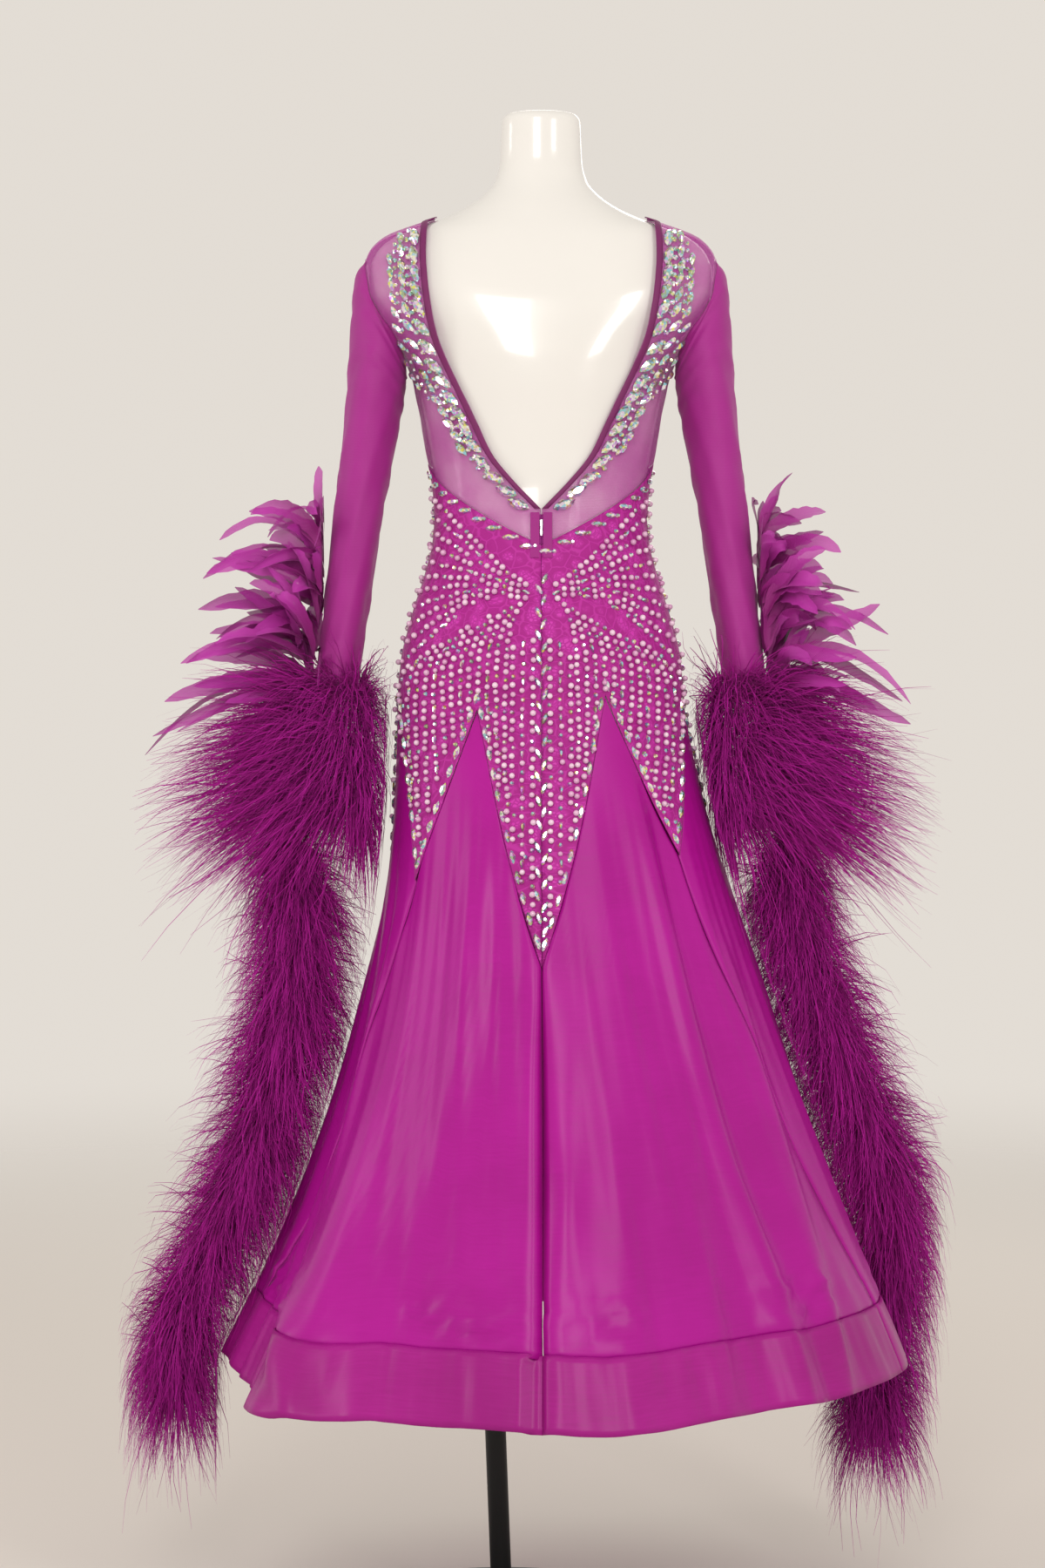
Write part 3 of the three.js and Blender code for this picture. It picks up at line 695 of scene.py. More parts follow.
@dataclass(frozen=True)
class Lace:
    """Corded floral lace laid over satin, with raised petals and outlines."""

    name: str = "lace"
    ground: tuple[float, float, float] = (0.36, 0.008, 0.23)
    petal: tuple[float, float, float] = (0.56, 0.03, 0.40)

    def make(self) -> bpy.types.Material:
        """Builds the material."""
        shader = Shader(self.name, sheen_weight=0.1, sheen_roughness=0.4, specular_ior_level=0.3)
        place = shader.place()
        wander = shader.noise(place, 60, 2)
        bent = shader.node("VectorMath", {"operation": "ADD"}, {0: place, 1: shader.node(
            "CombineXYZ", None, {0: wander * 0.008, 1: wander * 0.008})})
        flower = shader.cells(bent, 62)
        petal = shader.cells(bent, 240)
        rim = shader.cells(bent, 62, "DISTANCE_TO_EDGE").fit(0.02, 0.07, 1, 0)
        leaf = shader.cells(bent, 240, "DISTANCE_TO_EDGE").fit(0.04, 0.16, 1, 0)
        bloom = flower.fit(0.28, 0.5, 1, 0)
        raised = (bloom * (1 - leaf * 0.6)).most(rim * 0.45)
        threads = shader.noise(shader.place((2600, 2600, 1)), 1, 1)
        shader.set(base_color=shader.blend(raised, self.ground, self.petal))
        shader.set(roughness=0.62 - raised * 0.2)
        shader.relief(raised + petal * 0.2 + threads * 0.12, 0.9, 0.85)
        return shader.material


@dataclass(frozen=True)
class Plain:
    """A plain finish with fine wear, for the form, the stand, the bindings and the zip."""

    name: str
    colour: tuple[float, float, float]
    roughness: float = 0.4
    metallic: float = 0.0
    coat: float = 0.0
    mottle: float = 0.1
    grain: float = 9.0
    depth: float = 0.1

    def make(self) -> bpy.types.Material:
        """Builds the material."""
        shader = Shader(self.name, metallic=self.metallic, coat_weight=self.coat)
        shader.set(coat_roughness=0.06)
        place = shader.place(cloth=False)
        broad = shader.noise(place, self.grain, 4)
        fine = shader.noise(place, self.grain * 60, 2)
        darker = tuple(part * (1 - self.mottle) for part in self.colour)
        shader.set(base_color=shader.blend(broad.fit(0.3, 0.7), darker, self.colour))
        shader.set(roughness=broad * self.mottle + fine * 0.05 + (self.roughness - 0.05))
        shader.relief(fine, self.depth, 0.25)
        return shader.material


# ---------- The form and its stand ----------
@dataclass
class DressForm:
    """The smooth limbless form that fills the dress."""

    rings: int = 120
    ring_points: int = 96
    slack: float = FORM_SLACK

    def build(self) -> None:
        """Builds the form's skin from level sections, closed at both ends."""
        low, high = BODY.curves["half"].at[[0, -1]]
        rise = (1 - np.cos(np.linspace(0, math.pi, self.rings))) / 2
        levels = (low + (high - low) * rise)[:, None]
        turns = (np.arange(self.ring_points) / self.ring_points * FULL_TURN)[None, :]
        points = BODY.section(turns + 0 * levels, levels + 0 * turns, -self.slack)
        count = self.rings * self.ring_points
        ends = [[0, 0, low], [0, 0, high]]
        flat = np.concatenate([points.reshape(-1, 3), ends])
        ring = np.arange(self.ring_points)
        after = (ring + 1) % self.ring_points
        top = (self.rings - 1) * self.ring_points
        caps = [
            np.stack([np.full_like(ring, count), after, ring], axis=1),
            np.stack([np.full_like(ring, count + 1), top + ring, top + after], axis=1),
        ]
        quads = grid_faces(self.rings, self.ring_points, closed=True)
        piece = mesh_object("dress_form", flat, [quads, *caps])
        gloss = Plain("form_gloss", (0.77, 0.76, 0.735), 0.2, coat=0.6, mottle=0.02)
        mount(piece, gloss.make(), ["form_torso"])


@dataclass
class Stand:
    """The round base, the collar, the leaning pole and the socket under the form."""

    foot: tuple[float, float, float] = (-44, 0, 8.4)
    top: tuple[float, float, float] = (-80, 0, 949)
    pole_radius: float = 12
    base_radius: float = 200
    base_height: float = 8
    bevel: float = 1.6
    ring_points: int = 96

    def lathed(
        self, name: str, profile: Sequence[tuple[float, float]], x: float
    ) -> bpy.types.Object:
        """Spins a closed profile round an upright axis.

        Args:
            name: The piece's name.
            profile: Radius and height of each corner, from the bottom up the outside.
            x: Where the axis stands, in millimetres.

        Returns:
            The turned piece, with softened edges.
        """
        centre = world([x, 0, 0])
        bpy.ops.object.select_all(action="DESELECT")
        bpy.ops.mesh.primitive_circle_add(vertices=self.ring_points, radius=1, fill_type="NOTHING")
        piece = bpy.context.object
        piece.name = name
        bpy.ops.object.mode_set(mode="EDIT")
        radius, height = profile[0]
        bpy.ops.mesh.select_all(action="SELECT")
        bpy.ops.transform.resize(value=(radius * MM, radius * MM, 1))
        bpy.ops.transform.translate(value=(centre[0], centre[1], height * MM))
        for wide, high in profile[1:]:
            bpy.ops.mesh.extrude_region_move(
                TRANSFORM_OT_translate={"value": (0, 0, (high - height) * MM)}
            )
            share = wide / radius
            centre_now = (centre[0], centre[1], high * MM)
            bpy.ops.transform.resize(value=(share, share, 1), center_override=centre_now)
            radius, height = wide, high
        bpy.ops.mesh.select_all(action="SELECT")
        bpy.ops.mesh.remove_doubles(threshold=1e-5)
        bpy.ops.mesh.normals_make_consistent(inside=False)
        bpy.ops.object.mode_set(mode="OBJECT")
        soften(piece, self.bevel, 3, 25)
        return piece

    def build(self) -> None:
        """Builds and dresses the four steel pieces."""
        black = (0.012, 0.012, 0.013)
        steel = Plain("black_steel", black, 0.38, 0.4, mottle=0.25, depth=0.05).make()
        tiny = 0.5
        r, h = self.base_radius, self.base_height
        disc = [(tiny, 0.02), (r, 0.02), (r, h), (tiny, h)]
        base = self.lathed("base_disc", disc, self.foot[0])
        self.close_ends(base)
        mount(base, steel, ["stand_base"])
        bore = self.pole_radius + 2.5
        low = h + 0.3
        ring = [(bore, low), (34, low), (32, low + 6), (20, 44), (bore, 46), (bore, low)]
        mount(self.lathed("pole_collar", ring, self.foot[0]), steel, ["stand_collar"])
        socket = [(tiny, 950.6), (26, 950.6), (22, 961.6), (tiny, 961.6)]
        cap = self.lathed("form_socket", socket, self.top[0])
        self.close_ends(cap)
        mount(cap, steel, ["stand_socket"])
        mount(self.pole(), steel, ["stand_pole"])

    def close_ends(self, piece: bpy.types.Object) -> None:
        """Fills the pin holes left at the two ends of a spun profile."""
        select_only(piece)
        bpy.ops.object.mode_set(mode="EDIT")
        bpy.ops.mesh.select_all(action="SELECT")
        bpy.ops.mesh.fill_holes(sides=0)
        bpy.ops.mesh.select_all(action="SELECT")
        bpy.ops.mesh.normals_make_consistent(inside=False)
        bpy.ops.object.mode_set(mode="OBJECT")

    def pole(self) -> bpy.types.Object:
        """Builds the leaning pole as a bevelled bar between its two ends."""
        foot, top = np.array(self.foot, float), np.array(self.top, float)
        lift = np.array([0, 0, 0.6])
        length = float(np.linalg.norm(top - foot))
        lean = math.atan2(top[0] - foot[0], top[2] - foot[2])
        middle = world((foot + top) / 2 + lift)
        bpy.ops.object.select_all(action="DESELECT")
        bpy.ops.mesh.primitive_cylinder_add(
            vertices=64, radius=self.pole_radius * MM, depth=length * MM, location=tuple(middle),
            rotation=(0, lean, 0),
        )
        piece = bpy.context.object
        piece.name = "pole"
        bpy.ops.object.transform_apply(location=True, rotation=True, scale=True)
        soften(piece, 1.2, 2, 30)
        return piece


# ---------- The studio ----------
@dataclass
class Studio:
    """Camera, pale floor and soft lights."""

    distance: float = 3350
    camera_x: float = -21
    camera_z: float = 960
    lens: float = 67
    sensor_width: float = 36
    wall: tuple[float, float, float] = (0.80, 0.75, 0.69)
    world_strength: float = 0.96

    def build(self) -> None:
        """Sets the camera, the world, the floor and the lights."""
        lens = bpy.data.cameras.new("studio_camera")
        lens.lens = self.lens
        lens.sensor_width = self.sensor_width
        camera = bpy.data.objects.new("studio_camera", lens)
        camera.location = world([self.camera_x, -self.distance, self.camera_z])
        camera.rotation_euler = (QUARTER, 0, 0)
        bpy.context.scene.collection.objects.link(camera)
        bpy.context.scene.camera = camera
        sky = bpy.data.worlds.new("studio")
        sky.use_nodes = True
        background = sky.node_tree.nodes["Background"]
        background.inputs["Color"].default_value = (*self.wall, 1)
        background.inputs["Strength"].default_value = self.world_strength
        bpy.context.scene.world = sky
        bpy.context.scene.view_settings.view_transform = "Standard"
        self.floor()
        self.light("key_softbox", (-500, -3500, 2300), 0.8, 1.9, 36)
        self.light("side_softbox", (1500, -2900, 1900), 0.5, 1.9, 24)
        self.light("left_strip", (-2500, -500, 1500), 0.4, 1.9, 11)
        self.light("rear_fill", (700, 2900, 2500), 1.8, 1.6, 16)

    def floor(self) -> None:
        """Lays a large pale floor that fades into the background."""
        bpy.ops.object.select_all(action="DESELECT")
        bpy.ops.mesh.primitive_circle_add(vertices=96, radius=9, fill_type="NGON")
        ground = bpy.context.object
        ground.name = "studio_floor"
        shader = Shader("studio_paper", roughness=0.85, specular_ior_level=0.1)
        shader.set(base_color=(0.69, 0.655, 0.62))
        place = shader.place(cloth=False)
        reach = shader.node("VectorMath", {"operation": "LENGTH"}, {0: place}, "Value")
        shader.set(alpha=reach.fit(1.3, 6.5, 1, 0))
        ground.data.materials.append(shader.material)

    def light(
        self, name: str, place: Sequence[float], width: float, height: float, power: float
    ) -> None:
        """Adds a soft light that faces the middle of the dress.

        Args:
            name: The light's name.
            place: Its middle, in millimetres.
            width: Its width in metres.
            height: Its height in metres.
            power: Its power in watts.
        """
        panel = bpy.data.lights.new(name, "AREA")
        panel.shape = "RECTANGLE"
        panel.size, panel.size_y = width, height
        panel.energy = power
        panel.color = (1.0, 0.965, 0.93)
        lamp = bpy.data.objects.new(name, panel)
        lamp.location = world(place)
        aim = np.array([0, 0, 0.95]) - np.array(lamp.location)
        pitch = math.atan2(-aim[2], math.hypot(aim[0], aim[1]))
        lamp.rotation_euler = (QUARTER - pitch, 0, math.atan2(-aim[0], aim[1]))
        bpy.context.scene.collection.objects.link(lamp)


# ---------- Folds of the cloth ----------
@dataclass(frozen=True)
class Crease:
    """A fold in the skirt, along a path of places and levels.

    The path gives the distance from the back centre in millimetres, or the angle in degrees
    when turned is set. The height is how far the fold stands out; a groove's is negative.
    """

    path: tuple[tuple[float, float], ...]
    height: float
    width: float
    lean: float = 0.0
    turned: bool = False

    def lift(self, angle: np.ndarray, z: np.ndarray) -> np.ndarray:
        """Returns how far the fold moves the cloth out at each angle and level."""
        rows = np.array(sorted(self.path, key=lambda row: row[1]), float)
        places = np.radians(rows[:, 0]) if self.turned else BODY.angle_for(rows[:, 0], rows[:, 1])
        middle = Curve(rows[:, 1], places)(z)
        reach = np.linalg.norm(BODY.cloth(middle, z)[..., :2], axis=-1)
        gap = half_turns(angle - middle)
        aside = gap * reach / self.width
        aside = aside * np.where(aside > 0, 1 + self.lean, 1 - self.lean)
        low, high = rows[0, 1], rows[-1, 1]
        ends = smooth(high, high - 0.35 * (high - low), z)
        if low > HEM_Z + 40:
            ends = ends * smooth(low, low + 0.3 * (high - low), z)
        return self.height * ends * np.exp(-(aside**2))


SIDE_CREASES = """
9 18 0.35: 92 930; 95 760; 99 560; 103 297
-7 20 0: 101 900; 106 700; 111 297
10 19 -0.35: 118 960; 122 700; 127 480; 131 297
-6 22 0.2: 133 880; 138 640; 144 297
8 17 0.3: 150 940; 155 700; 160 297
6 15 -0.2: 166 800; 171 560; 176 297
-7 19 0.2: 182 960; 186 700; 190 297
9 17 0.4: 200 900; 204 640; 207 297
8 20 -0.3: 219 960; 222 700; 226 430; 228 297
-7 18 0: 238 930; 242 660; 246 297
8 18 0.3: 255 900; 259 680; 264 297
-6 16 0.2: 274 880; 277 640; 281 297
7 15 -0.3: 286 840; 291 600; 296 297
"""
BACK_CREASES = """
9 15 0.45: 78 1059; 95 979; 127 846; 158 711; 189 592; 262 372; 282 297
-6 17 -0.3: 100 1030; 122 930; 150 800; 178 690; 212 560; 292 372; 312 297
6 22 0.2: -72 917; -88 714; -118 534; -152 395
-4 11 0.3: -39 940; -53 745; -66 560
4 9 -0.3: -29 886; -18 825; -17 716
7 16 0.2: 29 590; 13 385; 12 297
-5 20 0: 46 720; 52 560; 64 400; 70 297
-7 26 0.2: -110 900; -140 700; -190 470; -215 297
9 20 -0.35: -150 880; -182 690; -235 480; -262 297
5 18 0.3: 140 690; 162 520; 196 297
-4 15 0: 96 640; 110 470; 128 297
8 20 0.4: 196 840; 236 650; 300 430; 330 297
"""


def read_creases(text: str, turned: bool) -> list[Crease]:
    """Reads creases written as height, width and lean, then the places and levels of their path."""
    creases = []
    for line in text.strip().splitlines():
        shape, path = line.split(":")
        rows = tuple(map(tuple, read_rows(path)))
        creases.append(Crease(rows, *map(float, shape.split()), turned))
    return creases


CREASES = read_creases(BACK_CREASES, False) + read_creases(SIDE_CREASES, True)


def below_hips(z: np.ndarray) -> np.ndarray:
    """Returns 0 where the cloth lies on the hips, and 1 where the skirt hangs free."""
    return smooth(1056, 985, z)


class Drape:
    """Where the outside of the skirt lies, with its creases, seams and wrinkles."""

    groove_width: float = 3.2
    groove_depth: float = 1.5
    deepest: float = -8
    highest: float = 13
    seam_drift: tuple[tuple[float, ...], ...] = ((297, 590, 761), (14, 7, 2))
    pucker_z: float = 398
    pucker_reach: float = 34

    def seam_angle(self, place: int, z: np.ndarray) -> np.ndarray:
        """Returns the angle of the seam below a yoke tip at each level."""
        tip = YOKE_POINTS[place % GODET_COUNT]
        share = np.clip((tip - z) / (tip - BAND_TOP_Z), 0, None)
        start, end = place * GODET_ANGLE, math.radians(HEM_SEAMS[place])
        return np.where(z > tip, start, start + (end - start) * np.minimum(share, 1))

    def centre_overlap(self, angle: np.ndarray, z: np.ndarray) -> np.ndarray:
        """Returns how the left side stands over the right along the back centre's seam."""
        gap = half_turns(angle)
        reach = np.linalg.norm(BODY.cloth(0 * z, z)[..., :2], axis=-1)
        aside = gap * reach + np.interp(z, *self.seam_drift)
        left = np.exp(-((np.minimum(aside, 0) / 34) ** 2)) * (aside < 0)
        right = np.exp(-((aside / 24) ** 2)) * (aside >= 0)
        return (left * 6 - right * 4.5) * smooth(790, 640, z)

    def lift(self, angle: np.ndarray, z: np.ndarray) -> np.ndarray:
        """Returns how far the skirt lies out from its plain form at each angle and level."""
        out = sum(crease.lift(angle, z) for crease in CREASES)
        out = out + self.centre_overlap(angle, z)
        turn = angle / FULL_TURN
        sway = ripple(turn * 19 + z / 900, SEED + 4) * 2.2
        gentle = ripple(turn * 41 + z / 500, SEED + 5) * 0.8
        out = out + (sway + gentle) * smooth(1000, 700, z)
        for place in range(GODET_COUNT):
            gap = half_turns(angle - self.seam_angle(place, z))
            reach = np.linalg.norm(BODY.cloth(angle, z)[..., :2], axis=-1)
            aside = np.abs(gap) * reach / self.groove_width
            out = out - self.groove_depth * np.exp(-(aside**2)) * smooth(900, 840, z)
        return np.clip(out, self.deepest, self.highest)

    def puckers(self, angle: np.ndarray, z: np.ndarray) -> np.ndarray:
        """Returns the wrinkles that the stiff hem draws into the cloth above it."""
        turn = angle / FULL_TURN
        near = np.exp(-(((z - self.pucker_z) / self.pucker_reach) ** 2))
        strength = smooth(-0.35, 0.8, ripple(turn * 6.3, SEED + 6)) + 0.12
        level = ripple(z / 38 + ripple(turn * 8, SEED + 7) * 0.9, SEED + 8, 2)
        across = ripple(turn * 46 + z / 90, SEED + 9, 2)
        return near * strength * (level * 3.8 + across * 2.8)

    def surface(self, angle: np.ndarray, z: np.ndarray, out: float = 0) -> np.ndarray:
        """Returns points of the skirt's outside."""
        lift = self.lift(angle, z) + self.puckers(angle, z) * smooth(372, 380, z)
        top = below_hips(z)
        tuck = 2.3 * smooth(BAND_TOP_Z + 2.5, BAND_TOP_Z - 1, z)
        return BODY.surface(angle, z, 1.2 + out + lift * top - tuck)


DRAPE = Drape()


@dataclass
class Skirt:
    """Seven satin godets from the yoke's points to the hem, and their stiffened hem bands."""

    rows: int = 92
    columns: int = 46
    band_rows: int = 12
    wall: float = 0.8
    band_wall: float = 2.0
    gap: float = 0.5

    def edges(self, index: int) -> tuple[np.ndarray, np.ndarray]:
        """Returns the angle and level down both long edges of a godet, from the hem up."""
        share = np.linspace(0, 1, self.rows)
        top_angle = (index + 0.5) * GODET_ANGLE
        top_z = GODET_TOPS[index] - 4
        sides = []
        for place, sign in ((index, 1), (index + 1, -1)):
            tip = YOKE_POINTS[place % GODET_COUNT]
            bend = (tip - BAND_TOP_Z) / (top_z - BAND_TOP_Z)
            z = np.where(
                share < bend,
                BAND_TOP_Z - 4 + (tip - BAND_TOP_Z + 4) * share / bend,
                tip + (top_z - tip) * (share - bend) / (1 - bend),
            )
            slant = place * GODET_ANGLE + (top_angle - sign * 0.006 - place * GODET_ANGLE) * (
                (z - tip) / (top_z - tip)
            )
            angle = np.where(z < tip, DRAPE.seam_angle(place, z), slant)
            reach = np.linalg.norm(BODY.cloth(angle, z)[:, :2], axis=-1)
            sides.append(np.stack([angle + sign * self.gap / reach, z], axis=1))
        return sides[0], sides[1]

    def build(self) -> None:
        """Builds and dresses every godet and band."""
        satin = Satin().make()
        band = Satin("hem_satin", (0.38, 0.010, 0.25), (0.30, 0.007, 0.19), 0.34).make()
        for index in range(GODET_COUNT):
            left, right = self.edges(index)
            across = np.linspace(0, 1, self.columns)[None, :, None]
            grid = left[:, None] * (1 - across) + right[:, None] * across
            points = DRAPE.surface(grid[..., 0], grid[..., 1])
            panel = Panel(f"skirt_godet_{index + 1}", points)
            sew(panel, self.wall, satin, f"godet_{index + 1}")
            self.build_band(index, band)

    def build_band(self, index: int, finish: bpy.types.Material) -> None:
        """Builds the folded band under one godet, proud of the cloth above it."""
        start, end = (math.radians(d) for d in HEM_SEAMS[index : index + 2])
        inset = self.gap / 900
        turn = np.linspace(start + inset, end - inset, self.columns * 2)[None, :]
        level = np.linspace(HEM_Z, BAND_TOP_Z - 0.3, self.band_rows)[:, None]
        share = (level - HEM_Z) / (BAND_TOP_Z - HEM_Z)
        turn, level = np.broadcast_arrays(turn, level)
        lift = DRAPE.lift(turn, level)
        wave = ripple(turn / FULL_TURN * 60, SEED + 12, 2) * 0.7 * (1 - np.abs(2 * share - 1))
        edge = 0.9 * np.sin(math.pi * np.clip(share, 0, 1)) ** 0.35
        points = BODY.surface(turn, level, 2.1 + lift + wave + edge)
        panel = Panel(f"hem_fold_{index + 1}", points)
        sew(panel, self.band_wall, finish, f"hem_band_{index + 1}")


# ---------- The bodice, the yoke and the sleeves ----------
def yoke_top(angle: np.ndarray) -> np.ndarray:
    """Returns the level of the seam between the mesh and the lace yoke."""
    dip = FRONT_YOKE_DIP * (1 - np.abs(np.sin(angle)) ** 2.6)
    share = np.abs(half_turns(angle)) / QUARTER
    back = BACK_YOKE_Z + (SIDE_SEAM_Z - BACK_YOKE_Z) * share
    return np.where(np.cos(angle) < 0, SIDE_SEAM_Z - dip, back)


def yoke_bottom(angle: np.ndarray) -> np.ndarray:
    """Returns the level of the yoke's zig-zag lower edge."""
    places = [i * GODET_ANGLE / 2 for i in range(-2 * GODET_COUNT, 2 * GODET_COUNT + 1)]
    levels = [
        GODET_TOPS[(i // 2) % GODET_COUNT] if i % 2 else YOKE_POINTS[(i // 2) % GODET_COUNT]
        for i in range(-2 * GODET_COUNT, 2 * GODET_COUNT + 1)
    ]
    return np.interp(angle, places, levels)


def yoke_span(angle: float) -> tuple[float, float]:
    """Returns the levels of the yoke's lower and upper edges at one angle."""
    return float(yoke_bottom(np.array(angle))), float(yoke_top(np.array(angle)))


def loft(rings: np.ndarray, steps: int) -> np.ndarray:
    """Returns a smooth run of rings through the given ones.

    Args:
        rings: Rings of points, one after the other.
        steps: How many new rings lie between two given ones.

    Returns:
        All the rings, given and new.
    """
    ends = np.concatenate([2 * rings[:1] - rings[1:2], rings, 2 * rings[-1:] - rings[-2:-1]])
    t = np.arange(0, len(rings) - 1 + 1e-9, 1 / steps)
    i = np.minimum(t.astype(int), len(rings) - 2)
    t = (t - i).reshape(-1, *([1] * (rings.ndim - 1)))
    a, b, c, d = ends[i], ends[i + 1], ends[i + 2], ends[i + 3]
    bend = 2 * a - 5 * b + 4 * c - d
    return 0.5 * (2 * b + (c - a) * t + bend * t**2 + (3 * b - a - 3 * c + d) * t**3)


NECKLINE = Curve(*read_rows(NECKLINE_ROWS).T)


def neck_x(z: np.ndarray) -> np.ndarray:
    """Returns the back neckline's distance from the back centre at each level."""
    return np.where(np.asarray(z) < NECK_V_Z, SEAM_GAP, NECKLINE(z))


def armhole(turn: np.ndarray, side: float, shrink: float = 0) -> np.ndarray:
    """Returns points of an armhole's edge as angle and level."""
    reach = ARMHOLE_REACH - math.radians(shrink * 0.4)
    angle = QUARTER - side * reach * np.sin(turn)
    return np.stack([angle, ARMHOLE_Z + (ARMHOLE_HEIGHT - shrink) * np.cos(turn)], axis=-1)


def outer_edge(side: float) -> np.ndarray:
    """Returns a bodice panel's outer edge: side seam, armhole and shoulder line."""
    seam = np.array([[QUARTER, z] for z in (SIDE_SEAM_Z, 1342, 1366, 1402)])
    hole = armhole(np.linspace(math.pi, 0, 9), side)
    shoulder = np.array([[QUARTER, z] for z in (1576, 1589, 1599, SHOULDER_Z)])
    return np.concatenate([seam, hole, shoulder])


def refine(rows: np.ndarray, steps: int) -> np.ndarray:
    """Returns the rows with straight steps between them."""
    t = np.linspace(0, len(rows) - 1, (len(rows) - 1) * steps + 1)
    columns = [np.interp(t, np.arange(len(rows)), rows[:, i]) for i in range(rows.shape[1])]
    return np.stack(columns, axis=1)


@dataclass
class Bodice:
    """Sheer back panels, the front and its high neck, and the bindings of the neckline."""

    steps: int = 4
    columns: int = 30
    wall: float = 0.6
    stand_off: float = 1.2
    deepest_drag: float = 0.9
    binding_width: float = 7
    binding_wall: float = 0.8
    neck_levels: tuple[float, ...] = (
        BACK_YOKE_Z, 1247, NECK_V_Z, 1300, 1326, 1350, 1373, 1396, 1418,
        1441, 1466, 1494, 1524, 1552, 1576, 1594, SHOULDER_Z,
    )

    def back_grid(self) -> np.ndarray:
        """Returns the right back panel's grid of angle and level."""
        z = refine(np.array(self.neck_levels, float)[:, None], self.steps)[:, 0]
        inner = np.stack([BODY.angle_for(neck_x(z), z), z], axis=1)
        outer = refine(outer_edge(1), self.steps) - [0.0015, 0]
        across = np.linspace(0, 1, self.columns)[None, :, None]
        grid = inner[:, None] * (1 - across) + outer[:, None] * across
        grid[0, :, 1] = yoke_top(grid[0, :, 0]) + 0.5
        return grid

    def front_grid(self) -> np.ndarray:
        """Returns the front's grid of angle and level, from +X across to -X."""
        edge = refine(outer_edge(-1), self.steps)
        across = (1 - np.cos(np.linspace(0, math.pi, 61))) / 2
        rise = ((edge[:, 1] - SIDE_SEAM_Z) / (SHOULDER_Z - SIDE_SEAM_Z))[:, None]
        scoop = 1 - np.abs(1 - 2 * across) ** 2.6
        z = edge[:, 1:] - scoop * (FRONT_YOKE_DIP + (FRONT_NECK_DIP - FRONT_YOKE_DIP) * rise)
        half = BODY.cloth(QUARTER + 0 * z, z)[..., 0]
        edge_x = BODY.cloth(edge[:, 0], edge[:, 1])[:, :1]
        ratio = edge_x / BODY.cloth(QUARTER + 0 * edge[:, :1], edge[:, 1:])[..., 0]
        x = (half * ratio * (1 - rise**2) + np.minimum(edge_x, half) * rise**2) * (1 - 2 * across)
        power = BODY.curves["square"](z) / 2
        angle = math.pi - np.sign(x) * np.arcsin(np.minimum(np.abs(x) / half, 1) ** power)
        grid = np.stack([angle, z], axis=-1)
        grid[0, :, 1] = yoke_top(grid[0, :, 0]) + 0.6
        return grid

    def sheet(self, name: str, grid: np.ndarray, finish: bpy.types.Material, node: str) -> None:
        """Builds one panel of mesh, with the shallow drag lines of its stretch."""
        angle, z = grid[..., 0], grid[..., 1]
        drag = ripple(z / 120 + np.abs(np.sin(angle)) * 1.4, SEED + 20, 3) * 0.6
        drag = drag + ripple(angle * 5 - z / 160, SEED + 21, 2) * 0.4
        out = self.stand_off + np.clip(drag, -self.deepest_drag, self.deepest_drag)
        panel = Panel(name, BODY.surface(angle, z, out))
        sew(panel, self.wall, finish, node)

    def bind(
        self, name: str, inner: np.ndarray, outer: np.ndarray, node: str, finish: bpy.types.Material
    ) -> None:
        """Builds one crowned binding between two edges of angle and level."""
        across = np.linspace(0, 1, 6)[None, :, None]
        grid = inner[:, None] * (1 - across) + outer[:, None] * across
        crown = 2.2 + 0.9 * np.sin(math.pi * across[..., 0]) ** 0.5
        panel = Panel(name, BODY.surface(grid[..., 0], grid[..., 1], crown + 0 * grid[..., 0]))
        sew(panel, self.binding_wall, finish, node)

    def build(self) -> None:
        """Builds and dresses the panels and the bindings."""
        sheer = Mesh("sheer_mesh", cover=0.33).make()
        plum = Plain("plum_binding", (0.17, 0.006, 0.105), 0.6, grain=30, depth=0.3).make()
        back = self.back_grid()
        z = back[8:, 0, 1]
        rim = BODY.angle_for(neck_x(z) + self.binding_width, z)
        for side, sign in SIDES:
            grid = back if sign > 0 else back[:, ::-1] * [-1, 1]
            self.sheet(f"mesh_back_{side}", grid, sheer, f"back_mesh_{side}")
            edges = [back[8:, 0], np.stack([rim, z], axis=1)]
            if sign < 0:
                edges = [edge * [-1, 1] for edge in edges[::-1]]
            self.bind(f"back_binding_{side}", *edges, f"neck_binding_{side}", plum)
        front = self.front_grid()
        finish = Mesh("front_mesh", cover=0.62).make()
        self.sheet("mesh_front", front, finish, "front_bodice")
        top = front[-1, 2:-2]
        low = top - [0, self.binding_width]
        span = BODY.surface(np.stack([low[:, 0], top[:, 0]]), np.stack([low[:, 1], top[:, 1]]), 2.6)
        collar = Panel("front_binding", loft(span, 4))
        sew(collar, self.binding_wall, plum, "neck_binding_front")


